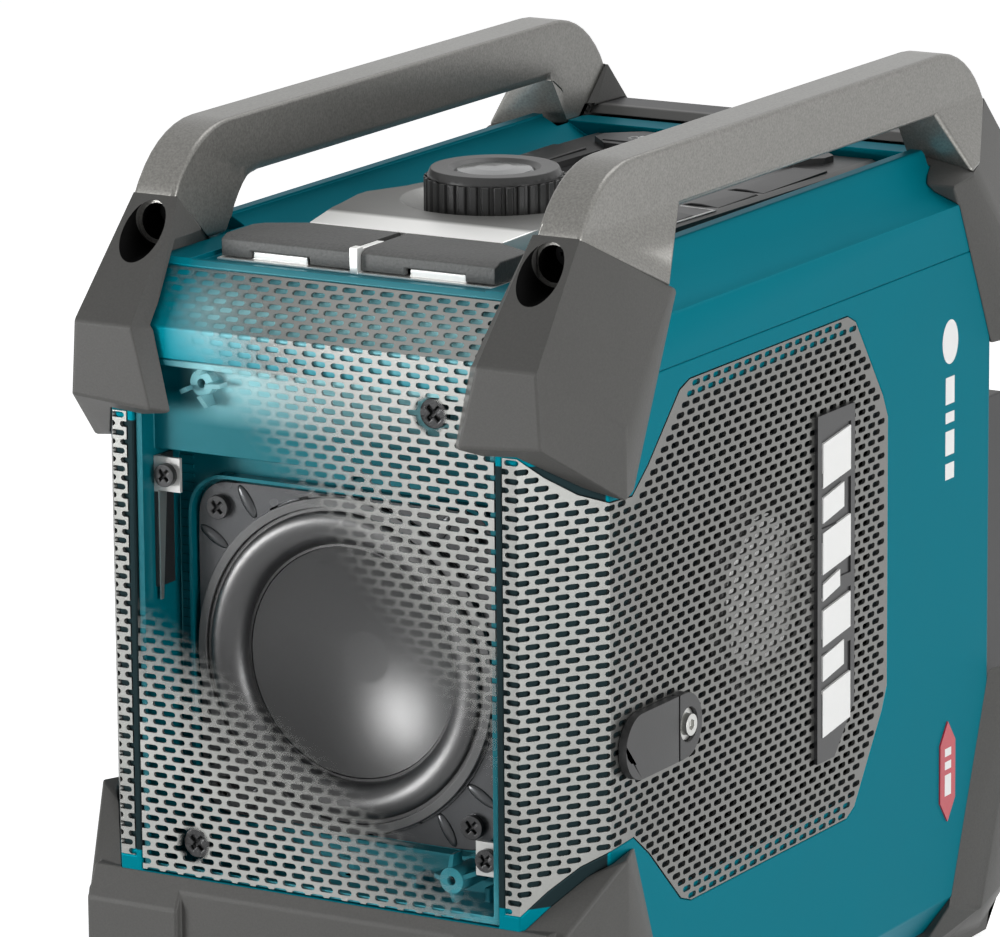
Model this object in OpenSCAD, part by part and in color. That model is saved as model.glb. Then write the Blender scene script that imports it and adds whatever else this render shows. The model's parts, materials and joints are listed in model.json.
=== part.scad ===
// Jobsite radio with a steel front grille, two carrying bars and eight corner bumpers.
// Front is -Y, up is +Z. The origin lies on the ground under the middle of the radio.

/* [Body] */
// Depth over the corner bumpers, front to back
overall_len = 366; // [356:1:380]
// Width of the housing between its flat sides
body_w = 198; // [194:1:206]
// Height between the lower and the upper knees of the bumpers
knee_gap = 241; // [238:1:246]
// Rise of the slanted ends beyond each knee
slant_rise = 39; // [38.6:0.2:40]
// Run of the slanted ends
slant_run = 34; // [33.6:0.2:35]
// Depth of the housing front behind the bumper knees
face_inset = 5.6; // [5.2:0.2:6.2]
// Distance from the rear knees to the back of the housing
rear_inset = 22; // [20:0.5:24]
// Width of the slanted vertical corners, across
corner_dx = 19.3; // [18.5:0.1:20.5]
// Depth of the slanted vertical corners, front to back
corner_dy = 28; // [27:0.5:29]
// Housing wall
wall = 3; // [2.6:0.1:3.4]
// Height of the housing floor above the ground
floor_z = 12; // [10:0.5:14]
// Height of the deck above the upper knees
deck_rise = 20.5; // [20:0.1:21]
// Height of the side lips above the deck
lip_h = 4.6; // [4:0.1:5]
// Height of the foot pads below the bumpers
foot_h = 2; // [1.5:0.5:3]
// General clearance between parts that move or slide in
gap = 0.3; // [0.2:0.05:0.4]

/* [Grilles] */
// Thickness of the perforated sheet
sheet = 1.2; // [1:0.1:1.5]
// Half width of the front grille
front_grille_x = 71; // [70:0.5:72]
// Height of the side grilles
side_grille_h = 183; // [178:1:184]
// Distance from the front knees to the rear edge of the side grilles
side_grille_end = 235; // [230:1:240]

/* [Subwoofer] */
// Side of the square mounting flange
sub_flange = 118; // [116:1:120]
// Spacing of the four mounting screws
sub_pitch = 100; // [98:0.5:101]
// Outer radius of the rubber surround
sub_roll_r = 55.2; // [54:0.2:55.4]
// Outer radius of the cone
sub_cone_r = 40.4; // [39:0.2:42]
// Travel of the cone each way
sub_travel = 3; // [1:0.5:3]

/* [Side speakers] */
// Outer radius of the frame
side_frame_r = 40; // [39:0.5:42]
// Outer radius of the cone
side_cone_r = 27; // [26:0.5:27.5]
// Travel of the cone each way
side_travel = 1.5; // [0.5:0.5:2]

/* [Handles] */
// Height of the grips above the upper knees
handle_rise = 60.3; // [58:0.1:62]
// Distance from the middle to the inner side of a grip
handle_in = 71.3; // [71:0.1:72]
// Width of a grip
handle_w = 16.8; // [16:0.1:17.5]
// Height of the grip section
grip_h = 22; // [20:0.5:23]

/* [Controls] */
// Radius of the dial over its ribs
dial_r = 24.8; // [23:0.2:25]
// Height of the dial
dial_h = 15.4; // [14:0.2:16]
// Number of ribs round the dial
dial_ribs = 36; // [24:1:40]
// Distance from the front knees to the dial axis
dial_dist = 128.4; // [127:0.2:130]
// Travel of the keys
key_travel = 1; // [0.6:0.1:1.2]

/* [Battery door] */
// Width of the battery door
door_w = 168; // [160:1:172]
// Height of the battery door
door_h = 170; // [160:1:172]
// Thickness of the battery door
door_t = 17; // [15:0.5:18]
// Width of the battery bay
bay_w = 92; // [86:1:96]
// Depth of the battery bay
bay_depth = 80; // [70:1:86]

/* [Hidden] */
half_len = overall_len / 2;
half_w = body_w / 2;
low_z = slant_rise;
up_z = slant_rise + knee_gap;
mid_z = (low_z + up_z) / 2;
face_y = face_inset - half_len;
back_y = half_len - rear_inset;
seam_y = back_y - corner_dy;
deck_z = up_z + deck_rise;
deck_low = up_z + 15.5;
lip_z = deck_z + lip_h;
seam_z = up_z - 11.5;
shoulder_z = up_z + 7.2;
lip_in = 77;
lip_out = lip_in + 5.7;
slope = slant_rise / slant_run;
far = 400;
teal = [0.0, 0.42, 0.48];
dark = [0.2, 0.2, 0.2];
grey = [0.42, 0.41, 0.4];
steel = [0.7, 0.7, 0.7];
black = [0.06, 0.06, 0.07];

// ---- Profile helpers ----
function unit2(v) = v / norm(v);
function inward(a, b) = let (d = unit2(b - a)) [-d[1], d[0]];
// Polygon offset inwards by t with sharp corners; points run counter-clockwise
function inset(pts, t) = [for (i = [0:len(pts) - 1])
    let (a = pts[(i + len(pts) - 1) % len(pts)], b = pts[i], c = pts[(i + 1) % len(pts)],
         n = inward(a, b), m = inward(b, c))
    b + t * (n + m) / (1 + n * m)];
// Point measured from the middle of the front knee line: across, back, up
function knee(x, y, z) = [x, y - half_len, up_z + z];
function mirrored(pts) = [for (i = [len(pts) - 1:-1:0]) [-pts[i][0], pts[i][1]]];
// Points of an arc in the plane
function arc(cx, cy, r, from, to, steps) =
    [for (i = [0:steps]) let (a = from + (to - from) * i / steps) [cx + r * cos(a), cy + r * sin(a)]];

plan_half = [[half_w - corner_dx, face_y], [half_w, face_y + corner_dy],
             [half_w, seam_y], [half_w - corner_dx, back_y]];
plan_pts = concat(plan_half, mirrored(plan_half));
side_pts = [[face_y + (low_z - floor_z) / slope, floor_z], [back_y - (low_z - floor_z) / slope, floor_z],
            [back_y, low_z], [back_y, lip_z - 5], [back_y - 4, lip_z],
            [face_y + (lip_z - up_z) / slope, lip_z], [face_y, up_z], [face_y, low_z]];
cross_half = [[half_w - 12, floor_z], [half_w, floor_z + 16], [half_w, shoulder_z],
              [half_w - 9, shoulder_z + 4.3], [half_w - 13, shoulder_z + 8.8],
              [lip_out + 0.9, lip_z - 4.1], [lip_out, lip_z - 1.4], [lip_out - 1.2, lip_z]];
cross_pts = concat(cross_half, mirrored(cross_half));
// The same without the lips, for everything that is set inwards
core_half = [[half_w - 12, floor_z], [half_w, floor_z + 16], [half_w, shoulder_z],
             [half_w - 9, shoulder_z + 4.3], [half_w - 16, lip_z + 4]];
core_pts = concat(core_half, mirrored(core_half));

module along_x(h, pts) { rotate([90, 0, 90]) linear_extrude(h, center = true) polygon(pts); }
module along_y(h, pts) { rotate([90, 0, 0]) linear_extrude(h, center = true) polygon(pts); }
// Box from its two far corners
module span(a, b) { translate(a) cube(b - a); }
module both_sides() { children(); mirror([1, 0, 0]) children(); }
module both_ends() { children(); mirror([0, 1, 0]) children(); }

// Outer shape of the whole housing, moved inwards by t
module envelope(t) {
    intersection() {
        linear_extrude(far) polygon(inset(plan_pts, t));
        along_x(far, inset(side_pts, t));
        along_y(2 * far, t > 0 ? inset(core_pts, t) : cross_pts);
    }
}

// ---- Places shared between parts ----
tray_x = front_grille_x + gap;
tray_low = low_z + 48;
tray_back = face_y + sheet + 25;
pocket_y = face_y + 24;
sub_x = 0;
sub_z = up_z - 115.9;
spk_y = 162 - half_len;
spk_z = up_z - 109;
side_tray = [for (p = [[75, -66], [85, -76], [207, -76], [222, -60], [222, 60], [207, 76], [85, 76], [75, 66]])
    [p[0] - half_len, spk_z + p[1]]];
side_seat = half_w - 14;
hole_x = handle_in + 7;
hole_rise = 27.8;
fascia_z = up_z + 28.6;
dial_y = dial_dist - half_len;
dial_z = up_z + 24.4;
fascia_floor = dial_z - 3.4;
fascia_r = 39.5;
shaft_low = fascia_floor - 6.5;
plate_t = 0.7;
push = 0.8;
shaft_r = 3;
port_floor = up_z + 18.4;
flap_front = 36.3 - half_len;
flap_hinge = [66.8 - half_len, up_z + 25.9];
flap_pin_r = 1.1;
flap_x = 54.2;
post_half = 1.5;
door_z0 = floor_z + 22;
door_axis = [back_y + 7, door_z0];
dc_y = 52 - half_len;
dc_z = up_z - 136.5;

// Side view outline of a side grille, measured from the front knees and its own middle height
grille_half = side_grille_h / 2;
function grille_top(e) = [[-5, grille_half - 13 + e], [face_inset, grille_half - 13 + e],
    [14, grille_half - 20.5 + e], [24, grille_half - 27.5 + e], [face_inset + corner_dy, grille_half - 31.5 + e], [49, grille_half - 32.5 + e], [60 - e / 2, grille_half - 24 + e],
    [82 - e, grille_half - 2.5 + e], [89, grille_half + e], [side_grille_end - 31, grille_half + e],
    [side_grille_end - 25 + e, grille_half - 3 + e], [side_grille_end - 4 + e, grille_half - 33.5 + e],
    [side_grille_end + e, grille_half - 42]];
function grille_outline(e) = let (t = grille_top(e), n = len(t) - 1)
    [for (p = concat([for (i = [0:n]) [t[i][0], -t[i][1]]], [for (i = [n:-1:0]) t[i]]))
        [p[0] - half_len, spk_z - 0.5 + p[1]]];
module grille_zone(e) {
    intersection() {
        along_x(2 * far, grille_outline(e));
        span([grille_edge_x - e, -far, 0], [far, far, far]);
    }
}
grille_edge_x = 74.1;

// ---- Housing ----
module lower_housing() {
    color(teal) difference() {
        union() {
            difference() {
                envelope(0);
                envelope(wall);
            }
            both_sides() side_tray_box(wall);
        }
        span([-far, -far, seam_z], [far, far, far]);
        span([-far, seam_y, 0], [far, far, far]);
        span([-tray_x, -far, tray_low], [tray_x, tray_back, far]);
        both_sides() {
            difference() {
                grille_zone(gap);
                envelope(sheet);
            }
            side_tray_box(0);
            translate([0, spk_y, spk_z]) rotate([0, 90, 0]) cylinder(h = half_w - 1, r = side_frame_r - 5, $fn = 64);
            side_place() for (a = [45:90:315]) rotate(a) translate([side_frame_r - 2.6, 0, -10]) cylinder(h = 11, r = 1.25, $fn = 24);
        }
        translate([0, dc_y, dc_z]) rotate([0, 90, 0]) cylinder(h = far, r = dc_body_r + gap, $fn = 48);
    }
}
// Sunk tray behind a side grille; t = wall gives its outside, t = 0 its hollow
module side_tray_box(t) {
    x0 = side_seat - t;
    x1 = t > 0 ? half_w - sheet - 0.4 : half_w + 1;
    translate([(x0 + x1) / 2, 0, 0]) along_x(x1 - x0, inset(side_tray, -t));
}
dc_body_r = 7;

module upper_housing() {
    color(teal) difference() {
        envelope(0);
        difference() {
            intersection() {
                envelope(wall);
                span([-far, -far, 0], [far, far, deck_low - wall]);
            }
            // Thicker front corners behind the bumper pockets
            both_sides() span([half_w - 11, face_y + corner_dy - 12, 0], [far, face_y + corner_dy + 18, far]);
        }
        corner_pocket();
        span([-far, -far, -far], [far, far, seam_z]);
        span([-far, seam_y, 0], [far, far, far]);
        span([-lip_in, -far, deck_z], [lip_in, 68 - half_len, far]);
        // Shelf of the ports, falling gently from the front edge
        translate([0, -half_len, 0]) along_x(116, [[20, up_z + 20.7], [33, port_floor], [68, port_floor], [68, far], [20, far]]);
        // Long hollow between the lips that takes the controls
        translate([0, (67.5 + 303) / 2 - half_len, 0]) along_y(303 - 67.5,
            [[-panel_half - 0.6, deck_low], [panel_half + 0.6, deck_low], [lip_in, lip_z - 0.8], [lip_in, far],
             [-lip_in, far], [-lip_in, lip_z - 0.8]]);
        span([-lip_in, 302 - half_len, up_z + 22], [lip_in, far, far]);
        // Room for the front grille
        difference() {
            span([-tray_x, -far, 0], [tray_x, 0, grille_top_z + gap]);
            envelope(sheet);
        }
        // Seats of the handle feet and the bumper tops
        handle_seats();
        // Openings for the sockets and the controls
        both_sides() span([18, flap_front + 5, 0], [42, flap_front + 17, far]);
        span([-36, 80 - half_len, 0], [36, 147.1 - half_len, far]);
        span([-58, 147 - half_len, 0], [58, 296 - half_len, far]);
    }
}
grille_top_z = up_z + 17.8;
panel_half = 60;

// Flat seats cut in the shoulders for the feet of the handles
module handle_seats() {
    both_sides() {
        span([handle_in - gap, -far, deck_z - 1.1], [far, 77.8 - half_len, far]);
        span([handle_in - gap, half_len - 71, deck_z - 1.1], [far, far, far]);
    }
}
// Housing as the bumpers meet it
module seated_envelope() {
    difference() {
        envelope(0);
        handle_seats();
        corner_pocket();
    }
}
// Room under the outer skin of the front bumpers at the corner of the shoulder
module corner_pocket() {
    both_sides() translate(corner_pt - bumper_n * ((corner_pt - bumper_pts[1]) * bumper_n))
        rotate([0, acos(bumper_n[2]), atan2(bumper_n[1], bumper_n[0])]) translate([-16, -14, -1.2]) cube([32, 28, 12]);
}
corner_pt = knee(half_w, face_inset + corner_dy, 7.2);

module rear_cover() {
    bay = [[-bay_w / 2, back_y - bay_depth, door_z0 + 14], [bay_w / 2, far, door_z0 + 130]];
    color(black) difference() {
        union() {
            intersection() {
                difference() {
                    envelope(0);
                    envelope(wall);
                }
                span([-far, seam_y, 0], [far, far, far]);
            }
            span([bay[0][0] - 2.5, bay[0][1] - 2.5, bay[0][2] - 2.5], [bay[1][0] + 2.5, back_y - 1, bay[1][2] + 2.5]);
            both_sides() span([door_w / 2 - 18, back_y - 1, door_z0 - 5], [door_w / 2 - 13, back_y + 11.6, door_z0 + 5]);
        }
        // Slanted wall behind the rear rim of the controls
        translate([0, seam_y, up_z]) along_x(144, [[-2, 20], [0.5, 20], [8, 26], [8, far], [-2, far]]);
        handle_seats();
        span(bay[0], bay[1]);
        translate([0, door_axis[0], door_axis[1]]) rotate([0, 90, 0])
            cylinder(h = door_w - 20, r = 2.56, center = true, $fn = 48);
    }
}

module front_baffle() {
    hollow_x = tray_x - gap - 2.4;
    step_z = up_z - 45;
    front = face_y + sheet;
    color(teal) difference() {
        union() {
            difference() {
                span([-tray_x + gap, front, tray_low + gap], [tray_x - gap, tray_back, seam_z]);
                span([-hollow_x, -far, tray_low + 3], [hollow_x, front + 7.5, seam_z - 2.4]);
                span([-hollow_x, -far, tray_low + 3], [hollow_x, pocket_y, step_z]);
                span([-hollow_x, front + 10, step_z + 2.4], [hollow_x, far, seam_z - 2.4]);
            }
            for (p = grille_screw_places)
                translate([p[0], boss_y, p[1]]) rotate([-90, 0, 0])
                    cylinder(h = (p[1] > step_z ? front + 8 : pocket_y + 0.5) - boss_y, r = 4.6, $fn = 40);
            for (z = [step_z - 3.4, tray_low + 6.4])
                translate([0, pocket_y - 6, z]) rotate([-90, 0, 0]) cylinder(h = 7, r = 3.6, $fn = 32);
            for (x = [-58, -29, 29, 58])
                span([x - 1, pocket_y - 9, tray_low + 2.5], [x + 1, pocket_y + 1, tray_low + 8]);
        }
        translate([sub_x, 0, sub_z]) rotate([90, 0, 0]) cylinder(h = far, r = 52.4, center = true, $fn = 96);
        for (p = grille_screw_places)
            translate([p[0], 0, p[1]]) rotate([90, 0, 0]) cylinder(h = far, r = 1.6, center = true, $fn = 32);
        for (p = sub_screw_places)
            translate([p[0], 0, p[1]]) rotate([90, 0, 0]) cylinder(h = far, r = 1.95, center = true, $fn = 32);
    }
}
boss_y = face_y + sheet + 3.8;
grille_screw_places = [for (s = [-1, 1]) for (p = [[46.6, up_z - 19.4], [50, up_z - 181]]) [s * p[0], p[1]]];
sub_screw_places = [for (s = [-1, 1]) for (t = [-1, 1]) [sub_x + s * sub_pitch / 2, sub_z + t * sub_pitch / 2]];

// ---- Grilles ----
module front_grille() {
    color(steel) intersection() {
        difference() {
            envelope(0);
            envelope(sheet);
        }
        span([-front_grille_x, -far, tray_low + gap], [front_grille_x, 0, grille_top_z]);
    }
}
module side_grille(socket_hole) {
    color(steel) difference() {
        intersection() {
            grille_zone(0);
            envelope(0);
        }
        envelope(sheet);
        if (socket_hole) translate([0, dc_y, dc_z]) rotate([0, 90, 0]) cylinder(h = far, r = dc_body_r + gap, $fn = 48);
    }
}
module side_grille_right() { side_grille(true); }
module side_grille_left() { mirror([1, 0, 0]) side_grille(false); }

// ---- Corner bumpers ----
// Outer corners of the upper front right bumper
bumper_pts = [
    knee(handle_in - 1.2, slant_run, slant_rise - 0.2), knee(handle_in + handle_w - 0.2, slant_run, slant_rise - 0.2),
    knee(handle_in - 3.4, 0, 0), knee(handle_in + handle_w + 2.6, 0, 0),
    knee(60.6, 0, -28.2), knee(half_w - 6.7, 0, -25.8),
    knee(half_w + 6.2, 34, -23.9), knee(half_w + 6.6, 33.4, -48.1), knee(half_w + 3.4, 70.9, 17.2),
    knee(half_w, 80, 14.5), knee(half_w, 50, -49),
    knee(67.7, 51.3, deck_rise - 0.5), knee(62.5, face_inset, -1), knee(56, face_inset, -30),
    knee(half_w - 14, 80, 14.5), knee(half_w - 14, 50, -49)];
// Direction the flat outer side of the bumper faces
bumper_n = unit2(cross(bumper_pts[6] - bumper_pts[1], bumper_pts[8] - bumper_pts[1]));
// Line of the deep screw hole; its local +Z goes in from the slanted face
module screw_line() { translate([hole_x, 24.2 - half_len, up_z + hole_rise]) rotate([hole_tilt - 90, 0, 0]) children(); }
hole_tilt = 10;
hole_depth = 22;
module bumper_block() { hull() polyhedron(points = bumper_pts, faces = [[for (i = [0:len(bumper_pts) - 1]) i]]); }
module upper_bumper() {
    color(dark) difference() {
        bumper_block();
        seated_envelope();
        handle_block();
        // Deep round hole with the screw at its end
        screw_line() translate([0, 0, -14]) cylinder(h = 25.4, r = 7.7, $fn = 48);
    }
}
module upper_bumper_front_right() { upper_bumper(); }
module upper_bumper_front_left() { mirror([1, 0, 0]) upper_bumper(); }
module upper_bumper_rear_right() { color(dark) rear_upper_bumper(); }
module upper_bumper_rear_left() { color(dark) mirror([1, 0, 0]) rear_upper_bumper(); }
module rear_upper_bumper() {
    difference() {
        mirror([0, 1, 0]) bumper_block();
        seated_envelope();
        handle_block();
        mirror([0, 1, 0]) screw_line() translate([0, 0, -14]) cylinder(h = 25.4, r = 7.7, $fn = 48);
        door_room();
    }
}
// Point of a lower bumper: across, back from the knee line, up from the lower knee
function low(x, y, z) = [x, y - half_len, low_z + z];
lower_pts = [
    low(handle_in - 1.2, slant_run, foot_h - low_z), low(handle_in + handle_w - 0.2, slant_run, foot_h - low_z),
    low(58, 0, 0), low(handle_in + handle_w + 2.6, 0, 0), low(58, 0, 37), low(half_w - 9, 0, 37),
    low(half_w + 6.2, 34, 24), low(half_w + 6.6, 33.4, 69.3), low(half_w + 6, 66.5, -18.4),
    low(half_w, 80, -14.5), low(half_w, 49, 69.3), low(half_w, 57, 37), low(58, face_inset, 48), low(77, face_inset, 48),
    low(half_w + 0.5, 30, -15), low(half_w - 14, 80, foot_h - low_z), low(half_w - 14, 50, 60), low(60, 62, foot_h - low_z)];
module lower_block() { hull() polyhedron(points = lower_pts, faces = [[for (i = [0:len(lower_pts) - 1]) i]]); }
module lower_bumper() {
    bar_top = tray_low;
    difference() {
        union() {
            both_sides() lower_block();
            along_x(2 * (half_w - 8), [[-half_len + (slant_run * (low_z - foot_h) / slant_rise), foot_h], [floor_run - half_len, foot_h],
                [floor_run - half_len, bar_top], [face_inset - half_len, bar_top], [-half_len, low_z + 37], [-half_len, low_z]]);
        }
        envelope(0);
        span([-far, -far, -far], [far, far, foot_h]);
        span([-54, -half_len - 1, low_z], [54, 3 - half_len, bar_top - 2.5]);
        both_sides() translate([foot_x, foot_y, 0]) cylinder(h = foot_h + 3, r = foot_r + 0.05, $fn = 48);
    }
}
floor_run = 62;
foot_x = 78;
foot_y = 50 - half_len;
foot_r = 9;
module lower_bumper_front() { color(dark) lower_bumper(); }
module lower_bumper_rear() {
    color(dark) difference() {
        mirror([0, 1, 0]) lower_bumper();
        door_room();
    }
}
module foot_pads() {
    color(black) both_ends() both_sides() translate([foot_x, foot_y, 0]) cylinder(h = foot_h + 3, r = foot_r, $fn = 48);
}
// Space the battery door sweeps, kept free of the bumpers
module door_room() {
    span([-door_w / 2 - 1, back_y - 1, door_z0 - 14], [door_w / 2 + 1, far, door_z0 + door_h + 2]);
}

// ---- Handles ----
grip_low = handle_rise - grip_h;
arch_r = 41;
arch_dy = 36;
// Side view of the grip and its legs
function arch_outer() = let (a = 62)
    concat([[slant_run, deck_rise], [slant_run, slant_rise - 0.2]],
        [for (i = [1:8]) let (b = a * (1 - i / 8)) [slant_run + arch_dy - arch_r * sin(b), handle_rise - arch_r * (1 - cos(b))]],
        [for (i = [0:7]) let (b = a * i / 8) [overall_len - slant_run - arch_dy + arch_r * sin(b), handle_rise - arch_r * (1 - cos(b))]],
        [[overall_len - slant_run, slant_rise - 0.2], [overall_len - slant_run, deck_rise]]);
arch_inner = [[overall_len - 62, deck_rise], [overall_len - 63, 29], [overall_len - 67, 34.5], [overall_len - 73, grip_low],
              [82, grip_low], [75, 36], [71, 31], [66, deck_rise]];
module handle_solid() {
    difference() {
        handle_block();
        both_ends() screw_line() {
            cylinder(h = hole_depth, r = 6, $fn = 48);
            cylinder(h = hole_depth + 18, r = 2.05, $fn = 32);
        }
    }
}
module handle_block() {
    difference() {
        union() {
            translate([handle_in + handle_w / 2, -half_len, up_z]) along_x(handle_w, concat(arch_outer(), arch_inner));
            front_flare();
            rear_flare();
        }
        // Rounded lower inner edge of the grip
        translate([handle_in, 0, up_z + grip_low]) along_y(overall_len - 150, [[-1, -1], [4, -1], [-1, 5]]);
    }
}
module front_flare() {
    hull() polyhedron(points = [
        knee(handle_in + handle_w, slant_run, slant_rise - 0.2), knee(half_w + 2.9, 69.6, 18.2), knee(half_w + 1.9, 71.5, 18.8),
        knee(half_w - 2, 80, 25.5), knee(half_w - 8, 92, 31.5), knee(handle_in + handle_w, 100, grip_low),
        knee(handle_in, 78, grip_low), knee(handle_in, 71, 31), knee(handle_in, 66, deck_rise),
        knee(handle_in, slant_run + 16, deck_rise), knee(handle_in + handle_w, 56, deck_rise)],
        faces = [[0, 1, 2, 3, 4, 5, 6, 7, 8, 9, 10]]);
}
module rear_flare() {
    hull() polyhedron(points = [
        knee(handle_in + handle_w, overall_len - slant_run, slant_rise - 0.2), knee(half_w + 2.9, overall_len - 69.6, 18.2),
        knee(half_w + 1.6, overall_len - 62, 19.6), knee(half_w - 3, overall_len - 63, 28),
        knee(handle_in + handle_w, overall_len - 73, grip_low), knee(handle_in, overall_len - 74, grip_low),
        knee(handle_in, overall_len - 67, 29), knee(handle_in, overall_len - 62, deck_rise),
        knee(handle_in, overall_len - slant_run - 14, deck_rise), knee(handle_in + handle_w, overall_len - 56, deck_rise)],
        faces = [[0, 1, 2, 3, 4, 5, 6, 7, 8, 9]]);
}
module handle_right() { color(grey) handle_solid(); }
module handle_left() { color(grey) mirror([1, 0, 0]) handle_solid(); }
module bumper_screws() {
    color(steel) both_ends() both_sides() screw_line() translate([0, 0, hole_depth]) {
        difference() {
            translate([0, 0, -3.4]) cylinder(h = 3.4, r = 4.5, $fn = 40);
            for (a = [0, 90]) rotate(a) translate([-2.6, -0.6, -4]) cube([5.2, 1.2, 2.4]);
        }
        translate([0, 0, -0.5]) cylinder(h = 16.5, r = 2, $fn = 32);
    }
}

// ---- Fasteners seen from the front and the side ----
// Cross-head screw on the Z axis with its seat at z = 0, pointing up
module cross_screw(head_r, head_h, shank_r, shank_l) {
    difference() {
        union() {
            cylinder(h = head_h, r = head_r, $fn = 40);
            translate([0, 0, -shank_l]) cylinder(h = shank_l + 0.2, r = shank_r, $fn = 32);
        }
        for (a = [45, 135]) rotate(a)
            translate([-head_r * 0.6, -head_r * 0.14, head_h * 0.4]) cube([head_r * 1.2, head_r * 0.28, head_h]);
    }
}
module baffle_screws() {
    color(black) {
        for (p = [grille_screw_places[2], grille_screw_places[1]])
            translate([p[0], boss_y, p[1]]) rotate([90, 0, 0]) cross_screw(5.2, 2.9, 1.55, 7);
        for (s = [-1, 1]) translate([s * bracket_x, bracket_y, bracket_z - s * 59.5]) rotate([90, 0, 0]) cross_screw(4, 2.6, 1.5, 5);
    }
}
bracket_x = 63;
bracket_y = face_y + 8;
bracket_z = up_z - 113;
module grille_brackets() {
    color(black) for (s = [-1, 1]) mirror([s < 0 ? 1 : 0, 0, 0]) translate([bracket_x, bracket_y, bracket_z - s * 59.5]) {
        difference() {
            translate([-5, 0, -6]) cube([10.5, 1.4, 12]);
            rotate([90, 0, 0]) cylinder(h = 5, r = 1.6, center = true, $fn = 32);
        }
        translate([4.1, 0, s < 0 ? -40 : -6]) cube([1.4, 10, 46]);
    }
}
module subwoofer_screws() {
    color(black) for (p = sub_screw_places) translate([p[0], pocket_y - flange_t, p[1]]) rotate([90, 0, 0]) cross_screw(4.2, 2.6, 1.85, 8);
}

// ---- Subwoofer ----
flange_t = 3;
sub_ring_r = 59.5;
flange_corner_r = 12;
// Height of the cone's rim in the driver
cone_rim = flange_t - 3.7;
// Places a driver part: its local +Z looks out of the front
module sub_place() { translate([sub_x, pocket_y, sub_z]) rotate([90, 0, 0]) children(); }
module subwoofer_basket() {
    color([0.35, 0.36, 0.37]) sub_place() difference() {
        union() {
            linear_extrude(flange_t) {
                for (a = [0, 90]) rotate(a) square([sub_flange, sub_flange - 2 * flange_corner_r], center = true);
                for (a = [0:90:270]) rotate(a) translate([1, 1] * (sub_flange / 2 - flange_corner_r)) circle(r = flange_corner_r, $fn = 48);
            }
            rotate_extrude($fn = 96) polygon([[sub_ring_r - 4, flange_t - 0.5], [sub_ring_r, flange_t - 0.5],
                [sub_ring_r, flange_t + 0.6], [sub_ring_r - 4, flange_t + 0.6]]);
            rotate_extrude($fn = 96) polygon([[49.6, 0.5], [51.8, 0.5], [51.8, -8], [38, -40], [19, -40], [19, -37.5], [36, -37.5], [49.6, -8]]);
        }
        translate([0, 0, -1]) cylinder(h = 6, r = 49.6, $fn = 96);
        for (a = [45:90:315]) rotate(a) translate([22, -11, -36]) cube([40, 22, 26]);
        for (s = [-1, 1]) for (t = [-1, 1]) translate([s * sub_pitch / 2, t * sub_pitch / 2, -1]) cylinder(h = 6, r = 1.95, $fn = 32);
    }
}
module subwoofer_gasket() {
    color(black) sub_place() rotate_extrude($fn = 96) polygon([[sub_roll_r + 0.2, flange_t], [sub_ring_r - 4.1, flange_t],
        [sub_ring_r - 4.1, flange_t + 0.7], [sub_ring_r - 0.6, flange_t + 0.7], [sub_ring_r - 0.9, flange_t + 2.4], [sub_roll_r + 0.2, flange_t + 2.4]]);
}
module subwoofer_surround() {
    roll = (sub_roll_r - sub_cone_r - 2.4) / 2;
    mid = sub_roll_r - 1.2 - roll;
    // Half roll from the cone's rim, low, to the gasket, high
    function half_roll(half, rise, from, to) = [for (i = [0:14]) let (a = 180 * i / 14)
        [mid - half * cos(a), from + (to - from) * i / 14 + rise * sin(a)]];
    color(dark) sub_place() rotate_extrude($fn = 96) polygon(concat(
        [[sub_cone_r + gap, cone_rim - 0.6], [sub_cone_r + gap, cone_rim + 0.4]],
        half_roll(roll, 4.4, cone_rim + 0.4, flange_t + 1.2),
        [[sub_roll_r, flange_t + 1.2], [sub_roll_r, flange_t]],
        [for (i = [14:-1:0]) half_roll(roll - 1.1, 3.6, cone_rim - 0.6, flange_t)[i]]));
}
module subwoofer_cone() {
    dish = 9;
    r = (pow(sub_cone_r, 2) + pow(dish, 2)) / (2 * dish);
    half = asin(sub_cone_r / r);
    color([0.25, 0.25, 0.26]) sub_place() {
        rotate_extrude($fn = 96) polygon(concat(
            [for (i = [0:12]) let (a = half * i / 12) [r * sin(a), cone_rim - dish + r * (1 - cos(a))]],
            [for (i = [12:-1:0]) let (a = half * i / 12) [r * sin(a), cone_rim - 1.4 - dish + r * (1 - cos(a))]]));
        translate([0, 0, -38]) difference() {
            cylinder(h = 38 + cone_rim - dish + 0.4, r = coil_r + 0.8, $fn = 64);
            translate([0, 0, -1]) cylinder(h = 38 + cone_rim - dish, r = coil_r, $fn = 64);
        }
    }
}
coil_r = 16;
module subwoofer_magnet() {
    color(steel) sub_place() translate([0, 0, -40]) difference() {
        translate([0, 0, -24]) cylinder(h = 24, r = 36, $fn = 64);
        translate([0, 0, -18]) difference() {
            cylinder(h = 30, r = 18.6, $fn = 64);
            translate([0, 0, -1]) cylinder(h = 40, r = coil_r - 1.2, $fn = 64);
        }
    }
}

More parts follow.
